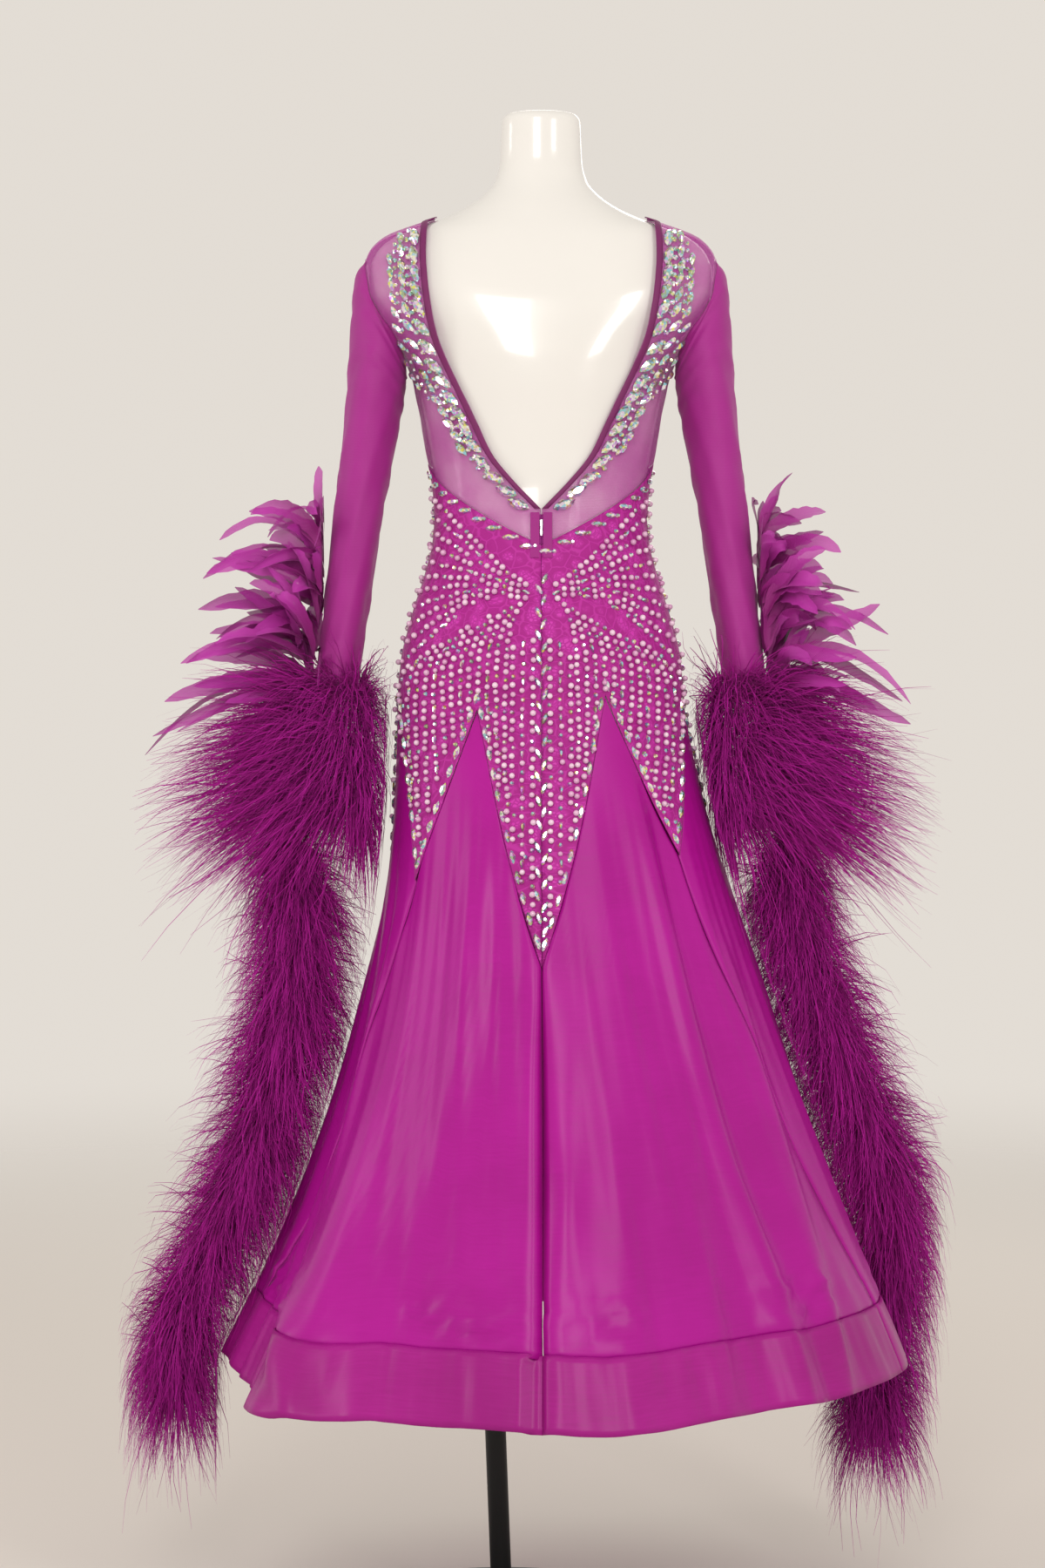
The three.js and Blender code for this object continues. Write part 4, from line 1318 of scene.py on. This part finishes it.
@dataclass
class Yoke:
    """The lace yoke that runs round the waist and hips in points between the godets."""

    rows: int = 70
    wall: float = 0.9

    def panel(
        self, name: str, start: float, end: float, node: str, finish: bpy.types.Material
    ) -> None:
        """Builds one panel between two angles."""
        step = GODET_ANGLE / 24
        inside = np.arange(math.ceil(start / step + 0.3), end / step - 0.3) * step
        turn = np.concatenate([[start], inside, [end]])[None, :]
        level = np.linspace(0, 1, self.rows)[:, None]
        bottom, top = yoke_bottom(turn), yoke_top(turn)
        z = bottom + (top - bottom) * level
        angle = turn + 0 * level
        drag = ripple(z / 90 + np.sin(angle) * 1.3, SEED + 22, 2) * 0.35
        panel = Panel(name, BODY.surface(angle, z, 1.9 + drag))
        sew(panel, self.wall, finish, node)

    def build(self) -> None:
        """Builds the two back panels and the front one."""
        lace = Lace().make()
        side = QUARTER - 0.0013
        self.panel("lace_yoke_back_right", 0.0015, side, "yoke_back_right", lace)
        self.panel("lace_yoke_back_left", -side, -0.0015, "yoke_back_left", lace)
        self.panel("lace_yoke_front", QUARTER, 3 * QUARTER, "yoke_front", lace)


@dataclass
class Sleeves:
    """Two long sheer sleeves with soft lengthwise folds."""

    ring_points: int = 64
    steps: int = 7
    wall: float = 0.6

    def build(self) -> None:
        """Builds, dresses and declares both sleeves."""
        turn = np.arange(self.ring_points) / self.ring_points * FULL_TURN
        hole = armhole(turn, 1, 1.6)
        top = BODY.surface(hole[:, 0], hole[:, 1], 0.1) + [1, 0, -0.2]
        rings = [top]
        for outer_x, outer_z, inner_x, inner_z, depth, y in read_rows(SLEEVE_ROWS):
            middle = np.array([(outer_x + inner_x) / 2, y, (outer_z + inner_z) / 2])
            arm = np.array([(outer_x - inner_x) / 2, 0, (outer_z - inner_z) / 2])
            away = np.array([0, -depth, 0])
            rings.append(middle + np.cos(turn)[:, None] * arm + np.sin(turn)[:, None] * away)
        tube = loft(np.array(rings), self.steps)
        count = len(tube)
        level = np.linspace(0, 1, count)[:, None]
        centre = tube.mean(axis=1, keepdims=True)
        away = unit(tube - centre)
        place = turn[None, :] / FULL_TURN
        folds = ripple(place * 3 + level * 1.6, SEED + 30, 3) * 1.6
        wrung = ripple(level * 9 + np.sin(turn)[None, :] * 0.7, SEED + 31, 2) * 1.1
        inside = smooth(0, 0.12, level) * smooth(1, 0.93, level)
        tube = tube + away * ((folds + wrung) * inside)[..., None]
        sheer = Mesh("sleeve_mesh", (0.48, 0.014, 0.33), 0.7).make()
        for side, sign in SIDES:
            points = tube[::-1, ::-1] if sign > 0 else tube[::-1] * [-1, 1, 1]
            closed = np.concatenate([points, points[:, :1]], axis=1)
            panel = Panel(f"sheer_sleeve_{side}", closed)
            sew(panel, self.wall, sheer, f"sleeve_{side}", tube=True)


@dataclass
class Fastening:
    """The zip at the back centre, kept from the frame with its own finishes."""

    def build(self) -> None:
        """Dresses the tape, the plackets, the slider and the pull."""
        tape = Plain("zip_tape_weave", (0.32, 0.006, 0.21), 0.65, grain=40, depth=0.3).make()
        bright = (0.72, 0.72, 0.75)
        zip_finish = Plain("polished_zip", bright, 0.22, 0.95, mottle=0.12, grain=60, depth=0.03)
        steel = zip_finish.make()
        finishes = {
            "zip_tape": tape, "zip_placket_right": tape, "zip_placket_left": tape,
            "zip_slider": steel, "zip_pull": steel,
        }
        for node_name, finish in finishes.items():
            node = frame["nodes"][node_name]
            node.data.materials.clear()
            node.data.materials.append(finish)


# ---------- Feather trims ----------
STRAY = 30  # a barb that would have to move further than this to miss the skirt is left out
SKIRT_STARTS_Z = 1060
TIP_LIMITS = ((440, 62), (350, 62))  # for x and y: where tips start to be held, and how far on


def keep_clear(points: np.ndarray, room: float = 16) -> np.ndarray:
    """Moves feather points out of the skirt, and holds their tips inside the trim's reach."""
    angle = np.arctan2(points[..., 0], -points[..., 1])
    below = points[..., 2] < SKIRT_STARTS_Z
    z = np.clip(points[..., 2], HEM_Z, 1500)
    edge = np.linalg.norm(BODY.cloth(angle, z)[..., :2], axis=-1) + room
    radius = np.linalg.norm(points[..., :2], axis=-1)
    push = np.where(below & (radius < edge), edge / np.maximum(radius, 1), 1.0)
    moved = points.copy()
    moved[..., :2] *= push[..., None]
    for axis, (start, span) in enumerate(TIP_LIMITS):
        far = np.abs(moved[..., axis]) - start
        held = start + span * np.tanh(np.maximum(far, 0) / span)
        moved[..., axis] = np.where(far > 0, np.sign(moved[..., axis]) * held, moved[..., axis])
    return moved


@dataclass(frozen=True)
class Down:
    """A mass of fine barbs that leave a core and droop."""

    length: float
    droop: float
    width: float = 1.1
    segments: int = 4
    curl: float = 0.22

    def build(self, name: str, roots: np.ndarray, aims: np.ndarray, seed: int) -> bpy.types.Object:
        """Builds the barbs as narrow tapering ribbons.

        Args:
            name: The piece's name.
            roots: Where each barb leaves the core.
            aims: The direction and reach of each barb, as a share of the full length.
            seed: The seed of the barbs' unevenness.

        Returns:
            The feather mesh, with a value that rises from each root to its tip. The feather
            material turns it into painted shade at the root and painted light at the tip.
        """
        rng = np.random.default_rng(seed)
        count = len(roots)
        t = np.linspace(0, 1, self.segments + 1)[None, :, None]
        reach = (self.length * rng.uniform(0.55, 1.2, (count, 1, 1))) * aims[:, None]
        swirl = unit(rng.normal(size=(count, 1, 3))) * self.length * self.curl
        down = np.array([0, 0, -self.length * self.droop]) * rng.uniform(0.4, 1.3, (count, 1, 1))
        path = roots[:, None] + reach * t + swirl * np.sin(t * 2.6) * t + down * t**2
        loose, path = path, keep_clear(path)
        kept = np.linalg.norm(path - loose, axis=-1).max(axis=1) < STRAY
        side = unit(np.cross(reach, rng.normal(size=(count, 1, 3))))
        half = self.width * (1 - 0.85 * t**1.6) * rng.uniform(0.6, 1.3, (count, 1, 1)) / 2
        points = np.stack([path - side * half, path + side * half], axis=2)[kept]
        # tone rises from root to tip for the painted shade at the root and the painted light at the
        # tip, plus a random tone for each barb
        tone = (rng.uniform(0.0, 0.35, (count, 1, 1)) + 0.75 * t)[kept]
        count = len(points)
        faces = repeated_grids(self.segments + 1, 2, count)
        shade = np.broadcast_to(tone, (count, self.segments + 1, 2)).reshape(-1)
        return mesh_object(name, points.reshape(-1, 3), [faces], None, {"shade": shade})


@dataclass(frozen=True)
class Feather:
    """Dyed feather, with painted shade darkening the root and painted light brightening the tip."""

    name: str = "feather_painted_shade_and_light"
    # root is the painted shade of the boa's core, and tip is the painted light through the barb
    # tips
    root: tuple[float, float, float] = (0.16, 0.002, 0.10)
    tip: tuple[float, float, float] = (0.46, 0.012, 0.33)

    def make(self) -> bpy.types.Material:
        """Builds the material."""
        shader = Shader(self.name, roughness=0.75, sheen_weight=0.1, sheen_roughness=0.5)
        shader.set(sheen_tint=(1.0, 0.4, 0.8), specular_ior_level=0.15)
        shade = shader.attribute("shade")
        drift = shader.noise(shader.place(cloth=False), 24, 3)
        # painted shade at the roots and painted light at the tips, from the root-to-tip value,
        # mixed with random tone from the noise
        mix = (shade * 0.75 + drift * 0.5).fit(0.15, 1.15)
        shader.set(base_color=shader.blend(mix, self.root, self.tip))
        return shader.material


@dataclass
class Boas:
    """Two feather boas that hang from the cuffs beside the skirt."""

    barbs: int = 9800
    core: float = 5

    def build(self) -> None:
        """Builds each boa in an upper and a lower piece."""
        finish = Feather().make()
        for side, text in (("left", BOA_LEFT_ROWS), ("right", BOA_RIGHT_ROWS)):
            rows = read_rows(text)
            foot, crest = rows[0, 0], rows[-1, 0]
            parts = (("lower", foot, BOA_SPLIT_Z), ("upper", BOA_SPLIT_Z, crest))
            for part, low, high in parts:
                count = int(self.barbs * 2 * ((high - low) / (crest - foot)))
                name = f"boa_down_{side}_{part}"
                self.piece(name, rows, (low, high), count, f"boa_{side}_{part}", finish)

    def piece(
        self, name: str, rows: np.ndarray, span: tuple[float, float], count: int, node: str,
        finish: bpy.types.Material,
    ) -> None:
        """Builds the barbs of one length of boa, round its middle line."""
        rng = np.random.default_rng(SEED + len(name) + count)
        clumps = np.sort(rng.uniform(span[0] + 14, span[1] + 10, max(count // 26, 1)))
        z = rng.choice(clumps, count) + rng.normal(0, 3.2, count)
        z = np.clip(z, rows[0, 0] + 12, rows[-1, 0])
        turn = rng.uniform(0, FULL_TURN, count)
        x, y, half_x, half_y = (Curve(rows[:, 0], rows[:, i])(z) for i in range(1, 5))
        radial = np.stack([np.sin(turn), -np.cos(turn), 0 * turn], axis=1)
        roots = np.stack([x, y, z], axis=1) + radial * self.core
        tuft = 0.8 + 0.34 * ripple(z / 40, SEED + 3, 2) * np.sin(turn * 2 + z / 27)
        aims = radial * np.stack([half_x, half_y, half_x], axis=1) / 62 * tuft[:, None]
        aims[:, 2] += rng.normal(0.05, 0.36, count)
        down = Down(length=86, droop=0.8, width=1.5, segments=5, curl=0.42)
        piece = down.build(name, roots, aims, SEED + count)
        mount(piece, finish, [node])


@dataclass
class Cuffs:
    """A thick ring of down round each wrist."""

    barbs: int = 6800
    hole: tuple[float, float, float, float] = (235.5, 4, 30, 42)

    def build(self) -> None:
        """Builds both cuffs."""
        # this feather material paints shade at the roots of the barbs and light at their tips
        finish = Feather("cuff_feather").make()
        rows = read_rows(CUFF_ROWS)
        for side, sign in SIDES:
            rng = np.random.default_rng(SEED + 40 + sign)
            z = rng.uniform(918, 1082, self.barbs)
            turn = rng.uniform(0, FULL_TURN, self.barbs)
            x, y, half_x, half_y = (Curve(rows[:, 0], rows[:, i])(z) for i in range(1, 5))
            round_x, round_y = np.sin(turn), -np.cos(turn)
            hx, hy, hole_x, hole_y = self.hole
            roots = np.stack([hx + round_x * (hole_x + 3), hy + round_y * (hole_y + 3), z], axis=1)
            ends = np.stack([x + round_x * half_x, y + round_y * half_y, z], axis=1)
            aims = (ends - roots) / 60
            aims[:, 2] += rng.normal(0.02, 0.34, self.barbs) + (z - 1000) / 260
            roots[:, 0] *= sign
            aims[:, 0] *= sign
            down = Down(length=84, droop=0.62, width=1.5, segments=5, curl=0.4)
            piece = down.build(f"cuff_down_{side}", roots, aims, SEED + 50 + sign)
            nodes = [f"cuff_feather_{quarter}_{side}" for quarter in range(1, 5)]
            mount(piece, finish, nodes)


@dataclass
class Plumes:
    """Fans of stiff curved plumes that stand up and out above each cuff."""

    blades: int = 64
    rows: int = 18
    columns: int = 5

    def blade(
        self,
        root: np.ndarray,
        aim: np.ndarray,
        size: tuple[float, float],
        rng: np.random.Generator,
    ) -> np.ndarray:
        """Returns the grid of one blade, curved along its rib and cupped across it."""
        length, width = size
        t = np.linspace(0, 1, self.rows)[:, None]
        fall = np.array([rng.uniform(0.1, 0.5), aim[1] * 0.3, -0.9]) * rng.uniform(0.15, 0.85)
        sway = np.array([0.0, rng.normal(0, 0.25), rng.normal(0, 0.1)])
        rib = root + aim * length * t + (fall * t**2.2 + sway * np.sin(t * 3) * t) * length
        along = unit(np.gradient(rib, axis=0))
        face = unit(np.array([rng.normal(0, 0.9), -1.0, rng.normal(0, 0.7)]))
        across = unit(np.cross(along, face))
        lifted = np.cross(across, along)
        s = np.linspace(-1, 1, self.columns)[None, :, None]
        notch = 1 + 0.16 * ripple(t * 6 + s[..., 0] * 2, int(rng.integers(1e6)), 2)
        shape = np.sin(math.pi * np.clip(t, 0, 1) ** 0.75) ** 0.55 * (0.35 + 0.65 * t**0.4)
        half = width / 2 * shape * notch + 0.5
        rib, across, lifted = rib[:, None], across[:, None], lifted[:, None]
        cup = lifted * (s**2) * (half * 0.4)[..., None]
        return rib + across * s * half[..., None] + cup

    def build(self) -> None:
        """Builds both fans."""
        shader = Shader("plume_vane_painted_shade_and_light", roughness=0.55, sheen_weight=0.15, sheen_roughness=0.4)
        shader.set(sheen_tint=(1.0, 0.55, 0.95))
        shade = shader.attribute("shade")
        u, _, _ = shader.split(shader.place())
        barbs = (u * 2600).sine()
        # painted shade at each blade's root and painted light at its tip: the colour brightens
        # along the root-to-tip value
        mix = (shade + barbs * 0.06).fit(0.1, 0.95)
        shader.set(base_color=shader.blend(mix, (0.26, 0.005, 0.17), (0.50, 0.03, 0.40)))
        shader.set(alpha=(1.0 - shade * 0.16) + barbs * 0.03)
        shader.relief(barbs, 0.2, 0.6)
        for side, sign in SIDES:
            rng = np.random.default_rng(SEED + 60 + sign)
            grids, painted_shade_ramps = [], []
            for i in range(self.blades):
                share = (i + rng.uniform(0, 1)) / self.blades
                z = 1066 + 175 * share**1.2 + rng.normal(0, 6)
                lean = math.radians(rng.uniform(0, 92) * (1 - 0.3 * share))
                yaw = rng.normal(0, 0.8)
                out, aside = math.cos(yaw), math.sin(yaw) * 0.8
                aim = np.array([math.sin(lean) * out, math.sin(lean) * aside, math.cos(lean)])
                root = np.array([264 - (z - 1060) * 0.11, rng.uniform(-24, 28), z])
                size = (rng.uniform(85, 185) * (1 - 0.2 * share), rng.uniform(13, 29))
                grids.append(self.blade(root, aim, size, rng))
                # a value rising from root to tip, for the blade's painted shade and painted light
                painted_shade_ramps.append(np.linspace(0, 1, self.rows)[:, None] * np.ones(self.columns))
            points = np.array(grids)
            points[..., 0] = np.clip(points[..., 0], 250, 470) * sign
            faces = repeated_grids(self.rows, self.columns, self.blades)
            t = np.linspace(0, 1, self.rows)[:, None] * np.ones(self.columns)
            s = np.abs(np.linspace(-1, 1, self.columns))[None, :] * np.ones((self.rows, 1))
            uv = np.stack([(t * 0.14 - s * 0.012).ravel(), s.ravel() * 0.02], axis=1)
            uv = np.tile(uv, (self.blades, 1))
            tone = np.array(painted_shade_ramps).reshape(-1)
            flat, name = points.reshape(-1, 3), f"plume_fan_{side}"
            piece = mesh_object(name, flat, [faces], uv, {"shade": tone})
            mount(piece, shader.material, [f"plumes_{side}"])


# ---------- Stones and pearls ----------
class StoneShape(Enum):
    """The shapes of stone sewn on the dress, as half length and half width in millimetres."""

    ROUND = (2.9, 2.9)
    DROP = (6.5, 4.2)
    NAVETTE = (8.6, 3.9)
    LARGE_NAVETTE = (13.0, 6.0)
    PEARL = (3.6, 3.6)


@dataclass(frozen=True)
class Spot:
    """One stone's place: angle, level, turn in the cloth's plane and scale."""

    angle: float
    z: float
    turn: float
    shape: StoneShape
    scale: float = 1.0


def stone_template(shape: StoneShape) -> tuple[np.ndarray, list[tuple[int, ...]]]:
    """Models one stone with bpy.ops, and returns its vertices and faces in millimetres.

    Args:
        shape: Which stone to model.

    Returns:
        Its vertices, flat side down at zero height, and its faces.
    """
    long_half, wide_half = shape.value
    bpy.ops.object.select_all(action="DESELECT")
    if shape is StoneShape.PEARL:
        bpy.ops.mesh.primitive_uv_sphere_add(
            segments=8, ring_count=5, radius=1, location=(0, 0, 0.8)
        )
        heights = long_half
    else:
        bpy.ops.mesh.primitive_cone_add(
            vertices=8, radius1=1, radius2=0.52, depth=0.8, location=(0, 0, 0.4)
        )
        heights = wide_half
    model = bpy.context.object
    bpy.ops.object.transform_apply(location=True, rotation=True, scale=True)
    points = np.array([vertex.co for vertex in model.data.vertices])
    faces = [tuple(polygon.vertices) for polygon in model.data.polygons]
    bpy.data.objects.remove(model)
    if shape in (StoneShape.NAVETTE, StoneShape.LARGE_NAVETTE):
        points[:, 0] *= 1 - 0.35 * np.abs(points[:, 1]) ** 2
    if shape is StoneShape.DROP:
        points[:, 0] *= 0.62 - 0.38 * points[:, 1]
    return points * [wide_half, long_half, heights], faces


def seat(spots: Sequence[Spot], stand_off: float) -> tuple[np.ndarray, ...]:
    """Returns the stones' places on the cloth, and their sideways, lengthwise and outward axes."""
    angle = np.array([spot.angle for spot in spots])
    z = np.array([spot.z for spot in spots])
    turn = np.array([spot.turn for spot in spots])[:, None]
    out = BODY.normal(angle, z)
    place = BODY.surface(angle, z, stand_off + DRAPE.lift(angle, z) * below_hips(z))
    across = unit(np.cross(np.array([0, 0, 1.0]), out))
    up = np.cross(out, across)
    lengthwise = up * np.cos(turn) + across * np.sin(turn)
    return place, np.cross(lengthwise, out), lengthwise, out


def stones_object(
    name: str, spots: Sequence[Spot], finish: bpy.types.Material, stand_off: float = 2.3
) -> None:
    """Builds one joined mesh of stones.

    Args:
        name: The piece's name.
        spots: Where the stones sit.
        finish: The stones' material.
        stand_off: How far the flat backs stand off the cloth's inner face.
    """
    points, blocks, shades, start = [], {}, [], 0
    rng = np.random.default_rng(SEED + len(spots))
    for shape in StoneShape:
        chosen = [spot for spot in spots if spot.shape is shape]
        if not chosen:
            continue
        model, faces = stone_template(shape)
        place, side, along, out = seat(chosen, stand_off)
        scale = np.array([spot.scale for spot in chosen])[:, None, None]
        axes = np.stack([side, along, out], axis=1)
        spread = place[:, None] + np.einsum("vk,nkd->nvd", model, axes) * scale
        points.append(spread.reshape(-1, 3))
        offset = start + np.arange(len(chosen)) * len(model)
        for face in faces:
            blocks.setdefault(len(face), []).append(np.array(face)[None] + offset[:, None])
        tone = np.repeat(rng.uniform(0, 1, len(chosen)), len(model))
        shades.append(tone)
        start += len(chosen) * len(model)
    corners = [np.concatenate(block) for block in blocks.values()]
    smooth_faces = all(spot.shape is StoneShape.PEARL for spot in spots)
    shade = {"shade": np.concatenate(shades)}
    piece = mesh_object(name, np.concatenate(points), corners, None, shade, smooth_faces)
    mount(piece, finish)


@dataclass(frozen=True)
class Crystal:
    """Faceted glass with a rainbow coating over a silver back."""

    name: str = "rainbow_crystal"

    def make(self) -> bpy.types.Material:
        """Builds the material."""
        shader = Shader(self.name, metallic=0.8, roughness=0.07)
        shader.set(coat_weight=1.0, coat_roughness=0.02)
        shade = shader.attribute("shade")
        facing = shader.cells(shader.place(cloth=False), 330, "F1", "Color")
        hue, _, _ = shader.split(facing)
        stops = [
            (0.0, (0.42, 0.5, 0.26)), (0.26, (0.32, 0.68, 0.82)), (0.44, (0.96, 0.95, 0.9)),
            (0.58, (0.84, 0.84, 0.16)), (0.74, (0.6, 0.2, 0.78)), (1.0, (0.97, 0.97, 0.88)),
        ]
        place = (hue * 0.75 + shade * 0.35).fit(0.1, 0.95)
        ramp = shader.node("ValToRGB", {"stops": stops}, {0: place}, "Color")
        shader.set(base_color=ramp)
        return shader.material


@dataclass(frozen=True)
class Pearl:
    """Dyed pearl with a soft lustre."""

    name: str = "rose_pearl"

    def make(self) -> bpy.types.Material:
        """Builds the material."""
        shader = Shader(self.name, roughness=0.22, coat_weight=0.7, coat_roughness=0.1)
        shade = shader.attribute("shade")
        shader.set(base_color=shader.blend(shade, (0.62, 0.30, 0.52), (0.82, 0.62, 0.76)))
        return shader.material


RAY_ENDS = (
    (118, 1284), (122, 1268), (124, 1250), (127, 1232), (131, 1214), (136, 1196),
    (140, 1178), (145, 1160), (149, 1140), (153, 1119), (156, 1097),
)
CENTRE_STARTS_Z, CENTRE_ENDS_Z, CENTRE_STEP = 786, 1190, 13


class Beading:
    """A generic design of rays and rows of pearls and crystals over the yoke and neckline."""

    def __init__(self) -> None:
        """Starts the seeded unevenness of hand sewing."""
        self.rng = np.random.default_rng(SEED + 80)

    def path(self, corners: Sequence[tuple[float, float]], spacing: float) -> np.ndarray:
        """Returns evenly spaced rows of x, z and heading along a smooth path."""
        line = loft(np.array(corners, float), 16)
        run = np.concatenate([[0], np.cumsum(np.linalg.norm(np.diff(line, axis=0), axis=1))])
        at = np.arange(spacing * 0.5, run[-1], spacing)
        x, z = np.interp(at, run, line[:, 0]), np.interp(at, run, line[:, 1])
        dx, dz = np.gradient(x) if len(x) > 1 else x * 0, np.gradient(z) if len(z) > 1 else z * 0
        return np.stack([x, z, np.arctan2(dx, dz)], axis=1)

    def spot(self, x: float, z: float, turn: float, shape: StoneShape, scale: float = 1.0) -> Spot:
        """Returns a stone's place at a distance from the back centre, a little uneven."""
        jitter = self.rng.normal(0, 0.5, 2)
        angle = float(BODY.angle_for(x + jitter[0], z))
        return Spot(angle, z + jitter[1], turn + self.rng.normal(0, 0.07), shape, scale)

    def inside_yoke(self, spot: Spot) -> bool:
        """Returns whether a stone lies on the lace."""
        low, high = yoke_span(spot.angle)
        return low + 8 < spot.z < high - 2

    def neckline(self, sign: int) -> list[Spot]:
        """Returns the stones beside the back neckline on one side."""
        z = np.linspace(NECK_V_Z + 8, SHOULDER_Z - 12, 90)
        edge = np.stack([neck_x(z), z], axis=1)
        run = np.concatenate([[0], np.cumsum(np.linalg.norm(np.diff(edge, axis=0), axis=1))])
        heading = np.arctan2(np.gradient(edge[:, 0]), np.gradient(edge[:, 1]))
        spots = []
        columns = (
            (14, 0.0, 1.0, 20, StoneShape.LARGE_NAVETTE, 1.06),
            (28, 0.24, 0.98, 16, StoneShape.NAVETTE, 1.25),
            (40, 0.5, 0.92, 14, StoneShape.NAVETTE, 1.05),
            (21, 0.15, 0.98, 10, StoneShape.ROUND, 1.15),
            (35, 0.45, 0.94, 9, StoneShape.ROUND, 0.95),
        )
        for out, low, high, spacing, shape, scale in columns:
            for at in np.arange(run[-1] * low + spacing / 2, run[-1] * high, spacing):
                x, level = np.interp(at, run, edge[:, 0]), np.interp(at, run, z)
                turn = float(np.interp(at, run, heading))
                x, level = x + out * math.cos(turn), level - out * math.sin(turn)
                if abs(turn) > 0.9 and level > 1585:
                    continue
                spots.append(self.spot(sign * x, level, sign * (turn + 0.35), shape, scale))
        return spots

    def line(
        self,
        corners: Sequence[tuple[float, float]],
        sign: int,
        pattern: Sequence[tuple[StoneShape, float]],
        spacing: float,
    ) -> list[Spot]:
        """Returns a row of stones that repeats a pattern of shapes along a path."""
        spots = []
        for i, (x, z, turn) in enumerate(self.path(corners, spacing)):
            shape, scale = pattern[i % len(pattern)]
            spots.append(self.spot(sign * x, z, sign * turn, shape, scale))
        return [spot for spot in spots if self.inside_yoke(spot)]

    def back(self, sign: int) -> list[Spot]:
        """Returns the rays, the falling rows and the centre rows on one side of the back."""
        s = StoneShape
        ray = ((s.PEARL, 1.0), (s.PEARL, 0.9), (s.PEARL, 0.95), (s.ROUND, 1.0))
        drops = ((s.DROP, 0.85), (s.PEARL, 0.9), (s.ROUND, 1.0), (s.PEARL, 0.8))
        spots = []
        for i, (x, z) in enumerate(RAY_ENDS):
            bow = (50 + 2 * i, 1208 - 4.5 * i)
            pattern = drops if i % 3 == 1 else ray
            spots += self.line([(13, 1178 - 1.5 * i), bow, (x, z)], sign, pattern, 8.4)
        for i, x in enumerate(np.linspace(36, 152, 13)):
            foot = float(yoke_bottom(BODY.angle_for(x, 1000.0))) + 12
            foot = min(foot, 1000.0)
            crest = 1166 - 0.3 * x
            belly = (x + 4, (crest + foot) / 2 - 14)
            corners = [(13, 1162), (x * 0.62, crest + 4), (x, crest - 34), belly, (x, foot)]
            spots += self.line(corners, sign, drops if i % 3 == 2 else ray, 8.6)
        for i, x in enumerate(range(9, 34, 11)):
            foot = 761 + 3.82 * x + 12
            pattern = drops if i % 2 else ray
            corners = [(x, 1122 - 4 * i), (x + 1, (1122 + foot) / 2), (x, foot)]
            spots += self.line(corners, sign, pattern, 10)
        return self.spaced(spots)

    def spaced(self, spots: Sequence[Spot], gap: float = 6.4) -> list[Spot]:
        """Returns the stones, without those that would touch an earlier one."""
        kept, places = [], np.full((1, 3), 1e6)
        for spot in spots:
            place = BODY.surface(spot.angle, spot.z, 0)
            if np.linalg.norm(places - place, axis=1).min() >= gap:
                kept.append(spot)
                places = np.vstack([places, place])
        return kept

    def edges(self) -> list[Spot]:
        """Returns the navettes that follow the yoke's edges all round the dress."""
        step, ahead, spacing, waist = 0.012, 0.005, 19, 120
        spots = []
        for turn in np.arange(-math.pi, math.pi, step):
            low, high = yoke_span(turn)
            slope = (yoke_span(turn + ahead)[0] - low) / ahead
            reach = float(np.linalg.norm(BODY.cloth(turn, low)[:2]))
            lean = math.atan2(reach, slope)
            inset = 11 + 4 * abs(math.cos(lean))
            spots.append((math.hypot(slope, reach) * step, turn, low + inset, lean, "low"))
            spots.append((step * waist, turn, high - 9, QUARTER, "high"))
        kept, run = [], {"low": 0.0, "high": 0.0}
        for length, turn, z, lean, kind in spots:
            run[kind] += length
            if run[kind] >= spacing:
                run[kind] = 0.0
                kept.append(Spot(turn, z, lean, StoneShape.NAVETTE, 0.95))
                kept.append(Spot(turn + 0.075, z, lean, StoneShape.ROUND, 1.0))
        return [spot for spot in kept if self.inside_yoke(spot)]

    def front(self) -> list[Spot]:
        """Returns upright rows over the sides and the front, where the back's rays end."""
        s = StoneShape
        spots = []
        for i, turn in enumerate(np.arange(QUARTER * 0.97, 3.04 * QUARTER, 0.105)):
            foot, crest = yoke_span(turn)
            low, high = foot + 24, crest - 22
            wave = 0.05 * math.sin(i * 1.3)
            for k, z in enumerate(np.arange(low, high, 13.5)):
                shape = (s.PEARL, s.ROUND, s.PEARL, s.DROP if i % 2 else s.ROUND)[k % 4]
                bend = turn + wave * math.sin((z - low) / 90)
                spots.append(Spot(bend, z, self.rng.normal(0, 0.08), shape, 0.95))
        return [spot for spot in spots if self.inside_yoke(spot)]

    def centre(self) -> list[Spot]:
        """Returns the zig-zag of navettes down the back centre."""
        spots = []
        for i, z in enumerate(np.arange(CENTRE_STARTS_Z, CENTRE_ENDS_Z, CENTRE_STEP)):
            side = 1 if i % 2 else -1
            spots.append(self.spot(side * 3.4, z, side * 0.42, StoneShape.NAVETTE, 0.85))
        return spots

    def build(self) -> None:
        """Builds the stones as a few joined pieces."""
        crystal, pearl = Crystal().make(), Pearl().make()
        back = self.back(1) + self.back(-1)
        groups = {
            "crystals_neckline_right": self.neckline(1),
            "crystals_neckline_left": self.neckline(-1),
            "back": back,
            "crystals_edges": self.edges(),
            "front": self.front(),
            "crystals_centre": self.centre(),
        }
        for name, spots in groups.items():
            pearls = [spot for spot in spots if spot.shape is StoneShape.PEARL]
            stones = [spot for spot in spots if spot.shape is not StoneShape.PEARL]
            if pearls:
                stones_object(f"pearls_{name}", pearls, pearl, 1.8)
                stones_object(f"crystals_{name}", stones, crystal)
            else:
                stones_object(name, stones, crystal)


PARTS = (
    Studio(), DressForm(), Stand(), Bodice(), Yoke(), Skirt(), Sleeves(), Fastening(),
    Boas(), Cuffs(), Plumes(), Beading(),
)


def main() -> None:
    """Builds the studio and every piece of the dress and its stand."""
    logging.basicConfig(level=logging.INFO, format="%(name)s: %(message)s")
    for part in PARTS:
        log.info("building %s", type(part).__name__)
        part.build()


if __name__ == "__main__":
    main()
